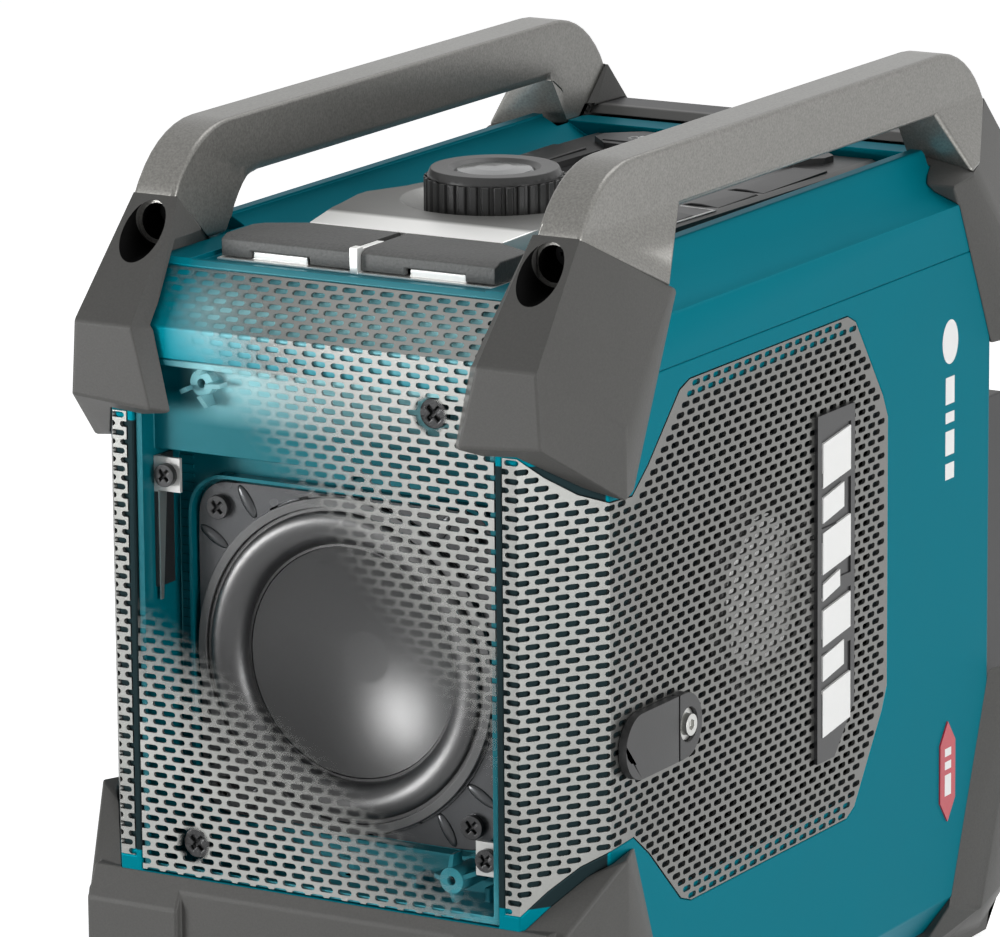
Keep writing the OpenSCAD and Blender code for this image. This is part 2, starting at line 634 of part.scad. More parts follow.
// ---- Side speakers ----
module side_place() { translate([side_seat, spk_y, spk_z]) rotate([0, 90, 0]) children(); }
module side_speaker_frame() {
    color(dark) side_place() difference() {
        rotate_extrude($fn = 72) polygon([[side_frame_r - 8, 0], [side_frame_r, 0], [side_frame_r, 2.4], [side_frame_r - 8, 2.4],
            [side_frame_r - 8, 0.5], [24, -16], [24, -18.5], [10, -18.5], [10, -20.5], [26, -20.5], [26, -17], [side_frame_r - 5.4, 0]]);
        for (a = [45:90:315]) rotate(a) translate([side_frame_r - 2.6, 0, -1]) cylinder(h = 5, r = 1.3, $fn = 24);
    }
}
module side_speaker_surround() {
    color(black) side_place() rotate_extrude($fn = 72) polygon(concat([[side_cone_r + gap, 1.4]],
        arc((side_cone_r + side_frame_r - 8) / 2 + 0.3, 1.8, (side_frame_r - 8 - side_cone_r) / 2 - 0.4, 180, 0, 8),
        [[side_frame_r - 8.05, 1.4], [side_frame_r - 8.05, 0.9], [side_cone_r + gap, 0.9]]));
}
module side_speaker_cone() {
    color(steel) side_place() rotate_extrude($fn = 72) polygon([[0, 2.2], [6, 1.6], [10, -1], [12, -5], [side_cone_r, 2],
        [side_cone_r, 0.8], [12.6, -6.6], [9.4, -6.6], [9.4, -18], [8.6, -18], [8.6, -1.8], [5.4, 0.6], [0, 1.2]]);
}
module side_magnet() {
    color(steel) side_place() translate([0, 0, -20.5]) difference() {
        translate([0, 0, -14]) cylinder(h = 14, r = 24, $fn = 64);
        translate([0, 0, -10]) difference() {
            cylinder(h = 30, r = 10, $fn = 48);
            translate([0, 0, -1]) cylinder(h = 40, r = 7.8, $fn = 48);
        }
    }
}
module side_speaker_frame_right() { side_speaker_frame(); }
module side_speaker_frame_left() { mirror([1, 0, 0]) side_speaker_frame(); }
module side_speaker_surround_right() { side_speaker_surround(); }
module side_speaker_surround_left() { mirror([1, 0, 0]) side_speaker_surround(); }
module side_speaker_cone_right() { side_speaker_cone(); }
module side_speaker_cone_left() { mirror([1, 0, 0]) side_speaker_cone(); }
module side_speaker_magnets() { both_sides() side_magnet(); }
module side_speaker_screws() {
    color(black) both_sides() side_place() for (a = [45:90:315]) rotate(a)
        translate([side_frame_r - 2.6, 0, 2.4]) cross_screw(2.5, 1.6, 1.2, 4.8);
}

// ---- Controls ----
lcd = [[-38, 174 - half_len], [38, 268 - half_len]];
lcd_sink = 2.2;
key_x = 43;
key_w = 14;
key_rows = [[150, 168], [186, 215], [219, 268]];
slope_front = [146 - half_len, up_z + 20.9];
slope_rear = [302 - half_len, up_z + 18.5];
// Region under the sloping top of the panel, lifted by h, from y0 to y1 and above z0
function slope_at(y) = slope_rear[1] + (slope_front[1] - slope_rear[1]) * (slope_rear[0] - y) / (slope_rear[0] - slope_front[0]);
module under_slope(x0, x1, y0, y1, z0, h) {
    translate([(x0 + x1) / 2, 0, 0]) along_x(x1 - x0, [[y0, z0], [y1, z0], [y1, slope_at(y1) + h], [y0, slope_at(y0) + h]]);
}
function key_x0(s) = s > 0 ? key_x : -key_x - key_w;
power_half = [[38, 272], [48, 283], [48, 290], [37, 300.5]];
power_plan = [for (p = concat(power_half, mirrored(power_half))) [p[0], p[1] - half_len]];
power_rise = 2.4;
slope_angle = atan((slope_front[1] - slope_rear[1]) / (slope_rear[0] - slope_front[0]));
module control_panel() {
    color(black) difference() {
        union() {
            under_slope(-panel_half, panel_half, slope_front[0] + gap, slope_rear[0], deck_low, 0);
            intersection() {
                linear_extrude(far) polygon(power_plan);
                under_slope(-50, 50, 271 - half_len, 301 - half_len, deck_low + 1, power_rise);
            }
        }
        for (s = [-1, 1]) for (row = key_rows)
            span([key_x0(s) - gap, row[0] - half_len - gap, 0], [key_x0(s) + key_w + gap, row[1] - half_len + gap, far]);
        // Long edges chamfered along the slope
        both_sides() translate([0, slope_front[0], slope_front[1]]) rotate([-slope_angle, 0, 0])
            along_y(2 * far, [[57.4, 0], [62, -1.9], [62, 5], [57.4, 5]]);
        difference() {
            span([lcd[0][0], lcd[0][1], deck_low + 0.6], [lcd[1][0], lcd[1][1], far]);
            under_slope(lcd[0][0] - 1, lcd[1][0] + 1, lcd[0][1] - 1, lcd[1][1] + 1, deck_low, -lcd_sink - 1.6);
        }
        span([lcd[0][0] + 4, lcd[0][1] + 4, 0], [lcd[1][0] - 4, lcd[1][1] - 4, far]);
        span([-41 - gap, 276 - half_len - gap, 0], [-20 + gap, 291 - half_len + gap, far]);
        cylinder_at_dial(fascia_r + gap, 0, far);
    }
}
fascia_half = [[38.5, 68.2], [42.5, 94.5], [46, 112], [46, 118], [39, 134]];
fascia_pts = [for (p = concat(fascia_half, mirrored(fascia_half))) [p[0], p[1] - half_len]];
module dial_fascia() {
    color([0.8, 0.8, 0.78]) difference() {
        union() {
            difference() {
                union() {
                    translate([0, 0, deck_low]) linear_extrude(fascia_z - deck_low) polygon(fascia_pts);
                    translate([0, dial_y, deck_low]) cylinder(h = fascia_z - deck_low, r = fascia_r, $fn = 96);
                }
                // Gentle slope of the front part
                translate([0, -half_len, fascia_z]) along_x(far, [[60, -2.27], [87.8, 0], [87.8, 5], [60, 5]]);
                // Hollow underside
                linear_extrude(fascia_floor) polygon(inset(fascia_pts, 2.4));
                cylinder_at_dial(fascia_r - 2.4, 0, fascia_floor);
            }
            // Plate under the port flaps with its two front tabs
            difference() {
                span([-55, 34.6 - half_len, port_floor], [55, 68.5 - half_len, port_floor + plate_t]);
                both_sides() span([18, flap_front + 5, 0], [42, flap_front + 17, far]);
            }
            both_sides() span([20.3, flap_front + 1.2, port_floor], [42.1, flap_front + 2.2, up_z + 21.7]);
            // Post between the two port flaps
            span([-post_half, 34 - half_len, port_floor], [post_half, 38 - half_len, up_z + 27.6]);
            span([-post_half, 37.9 - half_len, port_floor], [post_half, 52 - half_len, up_z + 26.9]);
            span([-post_half, 51.9 - half_len, port_floor], [post_half, 69 - half_len, up_z + 22]);
        }
        // Dish round the dial
        translate([0, dial_y, 0]) rotate_extrude($fn = 96)
            polygon([[0, dial_z - 1], [26, dial_z - 1], [33, fascia_z + 0.01], [33, fascia_z + 9], [0, fascia_z + 9]]);
        cylinder_at_dial(5, 0, far);
    }
}
module cylinder_at_dial(r, z0, z1) { translate([0, dial_y, z0]) cylinder(h = z1 - z0, r = r, $fn = 96); }
module display_window() {
    color([0.1, 0.12, 0.14]) difference() {
        under_slope(lcd[0][0] + gap, lcd[1][0] - gap, lcd[0][1] + gap, lcd[1][1] - gap, deck_low + 0.6, -lcd_sink);
        under_slope(-far, far, lcd[0][1] - 1, lcd[1][1] + 1, deck_low, -lcd_sink - 1.6);
    }
}
module tuning_knob() {
    ribs = [for (i = [0:dial_ribs - 1]) for (k = [[0, 0], [0.5, 0], [0.62, 1.1], [0.88, 1.1]])
        let (a = 360 * (i + k[0]) / dial_ribs, r = dial_r - k[1]) [r * cos(a), r * sin(a)]];
    color(black) translate([0, dial_y, dial_z]) difference() {
        union() {
            linear_extrude(dial_h * 0.8) polygon(ribs);
            rotate_extrude($fn = 96) polygon([[0, 0.5], [dial_r - 1.3, 0.5], [dial_r - 1.3, dial_h * 0.84], [dial_r - 2.4, dial_h],
                [cap_r + 2.4, dial_h], [cap_r + 0.1, dial_h - 1.4], [cap_r + 0.1, dial_h - 3], [0, dial_h - 3]]);
        }
        translate([0, 0, -1]) cylinder(h = dial_h - 4, r = shaft_r + 0.06, $fn = 48);
        // Hollow underside
        translate([0, 0, -1]) difference() {
            cylinder(h = dial_h - 5, r = dial_r - 3.4, $fn = 64);
            cylinder(h = dial_h, r = shaft_r + 2.4, $fn = 48);
        }
    }
}
cap_r = 13.9;
module knob_cap() {
    color([0.5, 0.52, 0.54]) translate([0, dial_y, dial_z + dial_h - 3]) rotate_extrude($fn = 72)
        polygon([[0, 0], [cap_r, 0], [cap_r, 1.6], [cap_r - 0.8, 2.2], [cap_r / 2, 2.7], [0, 2.9]]);
}
module encoder_shaft() {
    color(steel) translate([0, dial_y, shaft_low]) cylinder(h = dial_z + dial_h - 5.4 - shaft_low, r = shaft_r, $fn = 48);
}
module encoder_body() {
    color(black) translate([0, dial_y, 0]) difference() {
        union() {
            span([-7, -7, fascia_floor - 11], [7, 7, fascia_floor]);
            translate([0, 0, fascia_floor - 0.5]) cylinder(h = dial_z - push - 0.6 - fascia_floor + 0.5, r = 4.8, $fn = 48);
        }
        translate([0, 0, shaft_low - 1]) cylinder(h = 30, r = shaft_r + 0.06, $fn = 48);
    }
}
module key_cap(s, i) {
    y0 = key_rows[i][0] - half_len;
    y1 = key_rows[i][1] - half_len;
    x0 = key_x0(s);
    xm = x0 + key_w / 2 - s * 2;
    top = slope_at(y0);
    color(dark) intersection() {
        under_slope(x0, x0 + key_w, y0, y1, deck_low - 2.5, 0.8);
        translate([0, (y0 + y1) / 2, 0]) along_y(y1 - y0 + 2, [[x0 - 1, 0], [x0 + key_w + 1, 0],
            [x0 + key_w + 1, top - 0.1], [xm + 2, top + 0.8], [xm - 2, top + 0.8], [x0 - 1, top - 0.1]]);
    }
}
module key_right_front() { key_cap(1, 0); }
module key_right_middle() { key_cap(1, 1); }
module key_right_rear() { key_cap(1, 2); }
module key_left_front() { key_cap(-1, 0); }
module key_left_middle() { key_cap(-1, 1); }
module key_left_rear() { key_cap(-1, 2); }
module power_key() {
    color(black) under_slope(-41, -20, 276 - half_len, 291 - half_len, deck_low - 2.5, power_rise + 0.5);
}

// ---- Port flaps and sockets ----
module port_flap() {
    x0 = post_half + gap;
    top = flap_hinge[1] + flap_pin_r;
    low = port_floor + plate_t + gap;
    color(dark) {
        difference() {
            intersection() {
                translate([(x0 + flap_x) / 2, 0, 0]) along_x(flap_x - x0, [[flap_front, low], [flap_hinge[0], low], [flap_hinge[0], top],
                    [flap_front + 3.4, top - 0.1], [flap_front, top - 1.55]]);
                linear_extrude(far) polygon([[x0, flap_front], [flap_x, flap_front], [flap_x, flap_front + 20.2],
                    [flap_x - 2.4, flap_front + 23.7], [39, flap_hinge[0]], [x0, flap_hinge[0]]]);
            }
            span([x0 + 2.5, flap_front + 2.5, 0], [flap_x - 2.5, flap_front + 19.2, up_z + 23]);
            // Notch for the tab of the plate below
            span([18.9, flap_front - 1, 0], [42.4, flap_front + 3, up_z + 21.9]);
        }
        translate([x0, flap_hinge[0], flap_hinge[1]]) rotate([0, 90, 0]) cylinder(h = 38 - x0, r = flap_pin_r, $fn = 32);
    }
}
module port_flap_right() { port_flap(); }
module port_flap_left() { mirror([1, 0, 0]) port_flap(); }
module port_sockets() {
    top = port_floor + 1;
    yc = flap_front + 11.7;
    color(steel) {
        difference() {
            span([22, yc - 4.2, top - 16], [38, yc + 4.2, top]);
            span([usb_x - 6.3, yc - 2.4, top - 12], [usb_x + 6.3, yc + 2.4, far]);
        }
        translate([-30, yc, top - 16]) difference() {
            cylinder(h = 16, r = 4, $fn = 48);
            translate([0, 0, 2]) cylinder(h = 20, r = 1.8, $fn = 32);
        }
        span([-50, yc - 5.5, top - 18], [50, yc + 5.5, top - 16]);
        both_sides() span([45, yc - 3, top - 16.1], [50, yc + 3, deck_low - wall]);
    }
}
usb_x = 30;

// ---- 12 V socket on the right side ----
dc_cap_t = 3.2;
module dc_jack() {
    color(black) translate([0, dc_y, dc_z]) rotate([0, 90, 0]) difference() {
        translate([0, 0, half_w - sheet - 16]) cylinder(h = 17.1, r = dc_body_r, $fn = 48);
        translate([0, 0, half_w - sheet - 12]) cylinder(h = 30, r = 3.2, $fn = 32);
    }
}
// Rounded slab standing out from the side plane
module side_slab(y0, y1, r, x0, x1) {
    for (y = [y0 + r, y1 - r]) translate([x0, dc_y + y, dc_z]) rotate([0, 90, 0]) cylinder(h = x1 - x0, r = r, $fn = 48);
    span([x0, dc_y + y0 + r, dc_z - r], [x1, dc_y + y1 - r, dc_z + r]);
}
module dc_cap() {
    color(black) {
        union() {
            difference() {
                side_slab(-14, 39, 11.5, half_w + gap, half_w + gap + dc_cap_t);
                span([0, dc_y + 22.1, 0], [far, far, far]);
            }
            translate([half_w + gap + dc_cap_t - dc_pin_r, dc_y + 22.1, dc_z - 11.5]) cylinder(h = 23, r = dc_pin_r, $fn = 32);
            translate([half_w - 3, dc_y, dc_z]) rotate([0, 90, 0]) cylinder(h = 4, r = 2.2, $fn = 32);
        }
    }
}
dc_pin_r = 1;
module dc_cap_anchor() {
    color(black) difference() {
        side_slab(-14, 39, 11.5, half_w, half_w + gap + dc_cap_t);
        span([0, -far, 0], [far, dc_y + 23.4, far]);
        translate([half_w + 1.2, dc_y + 29.6, dc_z]) rotate([0, 90, 0]) cylinder(h = 10, r = 6.1, $fn = 48);
    }
}
module dc_cap_screw() {
    color(steel) translate([half_w + 1.2, dc_y + 29.6, dc_z]) rotate([0, 90, 0]) {
        cylinder(h = 0.8, r = 5.8, $fn = 40);
        difference() {
            translate([0, 0, 0.8]) cylinder(h = 2.6, r = 3.8, $fn = 40);
            translate([0, 0, 1.8]) cylinder(h = 3, r = 2, $fn = 6);
        }
    }
}

// ---- Battery door ----
module battery_door() {
    y0 = back_y + gap;
    y1 = back_y + door_t;
    color(black) difference() {
        union() {
            difference() {
                translate([0, 0, 0]) along_x(door_w, [[y0, door_z0], [y1 - 4, door_z0], [y1, door_z0 + 8], [y1, door_z0 + door_h - 8],
                    [y1 - 4, door_z0 + door_h], [y0, door_z0 + door_h]]);
                span([-door_w / 2 + 2.6, y0 - 1, door_z0 + 2.6], [door_w / 2 - 2.6, y1 - 2.8, door_z0 + door_h - 2.6]);
                both_sides() span([door_w / 2 - 19, 0, door_z0 - 8], [door_w / 2 - 12, y1 - 2.8, door_z0 + 10]);
            }
            for (s = [-1, 1]) translate([s * (door_w / 2 - 15.5), door_axis[0], door_axis[1]]) rotate([0, 90, 0])
                cylinder(h = 9, r = 2.5, center = true, $fn = 48);
            for (s = [-1, 1]) for (d = [-5.5, 5.5]) translate([s * (door_w / 2 - 15.5 + d), door_axis[0], door_axis[1]]) rotate([0, 90, 0])
                cylinder(h = 4, r = 5, center = true, $fn = 48);
        }
        span([-16 - gap, y1 - 2, door_z0 + door_h - 24 - 5 - gap], [16 + gap, far, door_z0 + door_h - 8.5]);
    }
}
module door_latch() {
    y1 = back_y + door_t;
    color(dark) difference() {
        span([-16, y1 - 2 + gap / 2, door_z0 + door_h - 24], [16, y1 + 2.5, door_z0 + door_h - 8.8]);
        for (z = [4, 7, 10]) span([-12, y1 + 1.7, door_z0 + door_h - 24 + z], [12, far, door_z0 + door_h - 24 + z + 1.4]);
    }
}
module battery_terminals() {
    y0 = back_y - bay_depth;
    color(dark) {
        span([-22, y0, door_z0 + 90], [22, y0 + 14, door_z0 + 112]);
        for (x = [-14, -5, 5, 14]) span([x - 0.6, y0 + 14, door_z0 + 94], [x + 0.6, y0 + 24, door_z0 + 108]);
    }
}
module circuit_board() {
    y1 = back_y - bay_depth - 2.5;
    color([0.1, 0.35, 0.2]) {
        span([-60, y1 - 1.6, door_z0 + 12], [60, y1, door_z0 + 132]);
        span([-40, y1 - 18, door_z0 + 30], [-10, y1 - 1.6, door_z0 + 60]);
        span([8, y1 - 10, door_z0 + 70], [34, y1 - 1.6, door_z0 + 96]);
    }
}

// ---- Trim ----
badge = [for (p = [[179, -175], [192, -175], [207, -158], [207, -49], [179, -49]]) [p[0] - half_len, up_z + p[1]]];
module badge_plates() {
    color(black) both_sides() difference() {
        translate([half_w + 0.7, 0, 0]) along_x(1.4, badge);
        for (i = [0:4]) span([half_w + 0.8, 182 - half_len, up_z - 150 + i * 20], [far, 204 - half_len, up_z - 135 + i * 20]);
    }
}
module accent_inlays() {
    y0 = half_len - 89;
    z0 = up_z - 222;
    color([0.75, 0.1, 0.12]) both_sides() translate([half_w + 0.3, 0, 0])
        along_x(0.6, [[y0, z0 + 8], [y0 + 6, z0], [y0 + 12, z0 + 8], [y0 + 12, z0 + 30], [y0 + 6, z0 + 38], [y0, z0 + 30]]);
}

lower_housing();
upper_housing();
rear_cover();
front_baffle();
front_grille();
side_grille_right();
side_grille_left();
upper_bumper_front_right();
upper_bumper_front_left();
upper_bumper_rear_right();
upper_bumper_rear_left();
lower_bumper_front();
lower_bumper_rear();
foot_pads();
handle_right();
handle_left();
bumper_screws();
baffle_screws();
grille_brackets();
subwoofer_screws();
subwoofer_basket();
subwoofer_gasket();
subwoofer_surround();
subwoofer_cone();
subwoofer_magnet();
side_speaker_frame_right();
side_speaker_frame_left();
side_speaker_surround_right();
side_speaker_surround_left();
side_speaker_cone_right();
side_speaker_cone_left();
side_speaker_magnets();
side_speaker_screws();
control_panel();
dial_fascia();
display_window();
tuning_knob();
knob_cap();
encoder_shaft();
encoder_body();
key_right_front();
key_right_middle();
key_right_rear();
key_left_front();
key_left_middle();
key_left_rear();
power_key();
port_flap_right();
port_flap_left();
port_sockets();
dc_jack();
dc_cap();
dc_cap_anchor();
dc_cap_screw();
battery_door();
door_latch();
battery_terminals();
circuit_board();
badge_plates();
accent_inlays();
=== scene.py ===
"""Jobsite radio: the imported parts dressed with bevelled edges, perforated sheets, printed marks and moulded finishes."""
import json
import math

import bmesh
import bpy
from mathutils import Matrix, Vector


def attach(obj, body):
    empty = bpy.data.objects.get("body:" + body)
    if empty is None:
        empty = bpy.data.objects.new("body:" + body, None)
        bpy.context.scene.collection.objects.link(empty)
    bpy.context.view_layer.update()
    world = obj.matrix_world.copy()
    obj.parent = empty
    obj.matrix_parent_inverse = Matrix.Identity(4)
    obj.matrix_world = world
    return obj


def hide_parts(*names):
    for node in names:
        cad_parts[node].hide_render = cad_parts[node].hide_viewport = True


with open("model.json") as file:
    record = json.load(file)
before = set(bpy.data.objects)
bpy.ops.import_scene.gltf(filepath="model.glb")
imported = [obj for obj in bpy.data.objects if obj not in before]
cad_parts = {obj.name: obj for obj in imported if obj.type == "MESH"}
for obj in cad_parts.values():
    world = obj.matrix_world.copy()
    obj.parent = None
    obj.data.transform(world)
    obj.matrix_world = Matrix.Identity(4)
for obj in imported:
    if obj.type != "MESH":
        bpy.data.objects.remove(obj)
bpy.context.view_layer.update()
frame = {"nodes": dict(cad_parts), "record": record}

MM = 0.001
# Main measures in millimetres: half the depth, the upper and lower knees, the sheets' front and side planes
HALF_LEN = 183.0
UP = 280.0
LOW = 39.0
FACE_Y = 5.6
HALF_W = 99.0
SPEAKER_Z = -109.0


def row(x, y, z):
    """A point measured across, back from the front knees and up from the upper knees, all in millimetres."""
    return Vector((x, y - HALF_LEN, UP + z)) * MM


# ---------------------------------------------------------------- shader groups
def new_group(name, inputs, outputs):
    tree = bpy.data.node_groups.new(name, "ShaderNodeTree")
    for label, kind, value in inputs:
        tree.interface.new_socket(label, in_out="INPUT", socket_type=kind).default_value = value
    for label, kind in outputs:
        tree.interface.new_socket(label, in_out="OUTPUT", socket_type=kind)
    return tree, tree.nodes.new("NodeGroupInput"), tree.nodes.new("NodeGroupOutput")


def feed(tree, socket, value):
    """Links another node's output to a socket, or gives the socket a plain value."""
    if isinstance(value, bpy.types.NodeSocket):
        tree.links.new(value, socket)
    else:
        socket.default_value = value


def math_node(tree, operation, *values, clamp=False):
    node = tree.nodes.new("ShaderNodeMath")
    node.operation = operation
    node.use_clamp = clamp
    for index, value in enumerate(values):
        feed(tree, node.inputs[index], value)
    return node.outputs[0]


def noise_node(tree, vector, scale, detail, roughness):
    node = tree.nodes.new("ShaderNodeTexNoise")
    for label, value in (("Vector", vector), ("Scale", scale), ("Detail", detail), ("Roughness", roughness)):
        feed(tree, node.inputs[label], value)
    return node.outputs["Fac"]


def object_place(tree):
    return tree.nodes.new("ShaderNodeTexCoord").outputs["Object"]


def axes_of(tree, vector):
    parts = tree.nodes.new("ShaderNodeSeparateXYZ")
    tree.links.new(vector, parts.inputs[0])
    return parts.outputs


def soft_step(tree, value, low, high):
    """0 below the low border, 1 above the high one, smooth between them."""
    ramp = tree.nodes.new("ShaderNodeMapRange")
    ramp.interpolation_type = "SMOOTHSTEP"
    for label, source in (("Value", value), ("From Min", low), ("From Max", high)):
        feed(tree, ramp.inputs[label], source)
    return ramp.outputs["Result"]


def step_about(tree, value, middle, softness):
    return soft_step(tree, value, math_node(tree, "SUBTRACT", middle, softness), math_node(tree, "ADD", middle, softness))


def build_moulded_group():
    """Moulded or painted surface: a slow mottle in tone and gloss, a fine grain in tone and height."""
    tree, gin, gout = new_group("moulded_surface", [
        ("Colour", "NodeSocketColor", (0.5, 0.5, 0.5, 1.0)), ("Mottle", "NodeSocketFloat", 0.1),
        ("Mottle Scale", "NodeSocketFloat", 20.0), ("Fleck", "NodeSocketFloat", 0.05),
        ("Grain Scale", "NodeSocketFloat", 1500.0), ("Base Roughness", "NodeSocketFloat", 0.5),
        ("Roughness Spread", "NodeSocketFloat", 0.1)],
        [("Colour", "NodeSocketColor"), ("Roughness", "NodeSocketFloat"), ("Height", "NodeSocketFloat")])
    place = object_place(tree)
    slow = noise_node(tree, place, gin.outputs["Mottle Scale"], 3.0, 0.5)
    grain = noise_node(tree, place, gin.outputs["Grain Scale"], 2.0, 0.6)

    def swing(noise, label):
        return math_node(tree, "MULTIPLY", math_node(tree, "SUBTRACT", noise, 0.5), gin.outputs[label])

    gain = math_node(tree, "ADD", math_node(tree, "ADD", swing(slow, "Mottle"), swing(grain, "Fleck")), 1.0)
    scaled = tree.nodes.new("ShaderNodeVectorMath")
    scaled.operation = "SCALE"
    tree.links.new(gin.outputs["Colour"], scaled.inputs[0])
    tree.links.new(gain, scaled.inputs["Scale"])
    tree.links.new(scaled.outputs[0], gout.inputs["Colour"])
    roughness = math_node(tree, "ADD", gin.outputs["Base Roughness"], swing(slow, "Roughness Spread"), clamp=True)
    tree.links.new(roughness, gout.inputs["Roughness"])
    tree.links.new(grain, gout.inputs["Height"])
    return tree


def build_box_group():
    """1 inside a box given by its two corners in metres, 0 outside, with a soft edge of the given width."""
    tree, gin, gout = new_group("inside_box", [
        ("Low", "NodeSocketVector", (-1.0, -1.0, -1.0)), ("High", "NodeSocketVector", (1.0, 1.0, 1.0)),
        ("Edge", "NodeSocketFloat", 0.0002)], [("Mask", "NodeSocketFloat")])
    here, low, high = (axes_of(tree, vector) for vector in (object_place(tree), gin.outputs["Low"], gin.outputs["High"]))
    mask = None
    for axis in range(3):
        for first, second in ((here[axis], low[axis]), (high[axis], here[axis])):
            side = math_node(tree, "DIVIDE", math_node(tree, "SUBTRACT", first, second), gin.outputs["Edge"])
            side = math_node(tree, "ADD", side, 0.5, clamp=True)
            mask = side if mask is None else math_node(tree, "MULTIPLY", mask, side)
    tree.links.new(mask, gout.inputs["Mask"])
    return tree


def build_band_group():
    """0 inside a diagonal band across the front, 1 beyond its two soft borders."""
    tree, gin, gout = new_group("fade_band", [
        ("Upper Tilt", "NodeSocketFloat", 1.1), ("Upper", "NodeSocketFloat", 0.2),
        ("Upper Softness", "NodeSocketFloat", 0.02), ("Lower Tilt", "NodeSocketFloat", 0.7),
        ("Lower", "NodeSocketFloat", 0.1), ("Lower Softness", "NodeSocketFloat", 0.02)],
        [("Mask", "NodeSocketFloat")])
    axes = axes_of(tree, object_place(tree))
    steps = []
    for border in ("Upper", "Lower"):
        across = math_node(tree, "ADD", axes[2], math_node(tree, "MULTIPLY", axes[0], gin.outputs[border + " Tilt"]))
        steps.append(step_about(tree, across, gin.outputs[border], gin.outputs[border + " Softness"]))
    below = math_node(tree, "SUBTRACT", 1.0, steps[1])
    tree.links.new(math_node(tree, "ADD", steps[0], below, clamp=True), gout.inputs["Mask"])
    return tree


def build_spot_group():
    """0 inside a round spot in the plane of the front, 1 outside."""
    tree, gin, gout = new_group("clear_spot", [
        ("Centre X", "NodeSocketFloat", 0.0), ("Centre Z", "NodeSocketFloat", 0.0),
        ("Radius", "NodeSocketFloat", 0.006), ("Softness", "NodeSocketFloat", 0.001)], [("Mask", "NodeSocketFloat")])
    axes = axes_of(tree, object_place(tree))
    squares = []
    for axis, label in ((0, "Centre X"), (2, "Centre Z")):
        away = math_node(tree, "SUBTRACT", axes[axis], gin.outputs[label])
        squares.append(math_node(tree, "MULTIPLY", away, away))
    reach = math_node(tree, "SQRT", math_node(tree, "ADD", *squares))
    tree.links.new(step_about(tree, reach, gin.outputs["Radius"], gin.outputs["Softness"]), gout.inputs["Mask"])
    return tree


BORE_START, BORE_TILT = (78.3, 24.2, 27.8), math.radians(10)
BORE_SIZES = ((7.95, 8.0), (6.3, 23.0))  # radius and depth of the mouth and of the deep part
BORE_EDGE, BORE_END = 0.05, 0.3


def build_bore_group():
    """1 in the four slanting screw bores: a wide mouth and a narrower deep part."""
    tree, _, gout = new_group("screw_bores", [], [("Mask", "NodeSocketFloat")])

    def vector_step(operation, *values):
        node = tree.nodes.new("ShaderNodeVectorMath")
        node.operation = operation
        for index, value in enumerate(values):
            feed(tree, node.inputs[index], value)
        return node.outputs["Value" if operation in ("DOT_PRODUCT", "LENGTH") else "Vector"]

    # Mirrored in the two middle planes, all four bores fall on the front right one
    axis = (0.0, math.cos(BORE_TILT), math.sin(BORE_TILT))
    quarter = vector_step("MULTIPLY", vector_step("ABSOLUTE", object_place(tree)), (1.0, -1.0, 1.0))
    offset = vector_step("SUBTRACT", quarter, tuple(row(*BORE_START)))
    along = vector_step("DOT_PRODUCT", offset, axis)
    reach = vector_step("LENGTH", vector_step("CROSS_PRODUCT", offset, axis))
    masks = []
    for radius, depth in BORE_SIZES:
        outside = soft_step(tree, reach, (radius - BORE_EDGE) * MM, (radius + BORE_EDGE) * MM)
        beyond = soft_step(tree, along, depth * MM, (depth + BORE_END) * MM)
        masks.append(math_node(tree, "SUBTRACT", 1.0, math_node(tree, "MAXIMUM", outside, beyond)))
    tree.links.new(math_node(tree, "MAXIMUM", *masks), gout.inputs["Mask"])
    return tree


MOULDED = build_moulded_group()
IN_BORE = build_bore_group()
IN_BOX = build_box_group()
FADE_BAND = build_band_group()
CLEAR_SPOT = build_spot_group()


# ---------------------------------------------------------------- materials
DARK = (0.008, 0.009, 0.01)
# Painted shade for the insides of the screw bores
BORE_PAINTED_SHADE = (0.006, 0.006, 0.006)
MOTTLE_SCALE, ROUGHNESS_SPREAD = 22.0, 0.08


def group_node(tree, group, values):
    node = tree.nodes.new("ShaderNodeGroup")
    node.node_tree = group
    for label, value in values.items():
        node.inputs[label].default_value = value
    return node


def mix_colour(tree, factor, first, second):
    node = tree.nodes.new("ShaderNodeMix")
    node.data_type = "RGBA"
    tree.links.new(factor, node.inputs["Factor"])
    # The colour sockets of this node have the same names as its number and vector sockets
    feed(tree, node.inputs[6], first)
    feed(tree, node.inputs[7], second)
    return node.outputs[2]


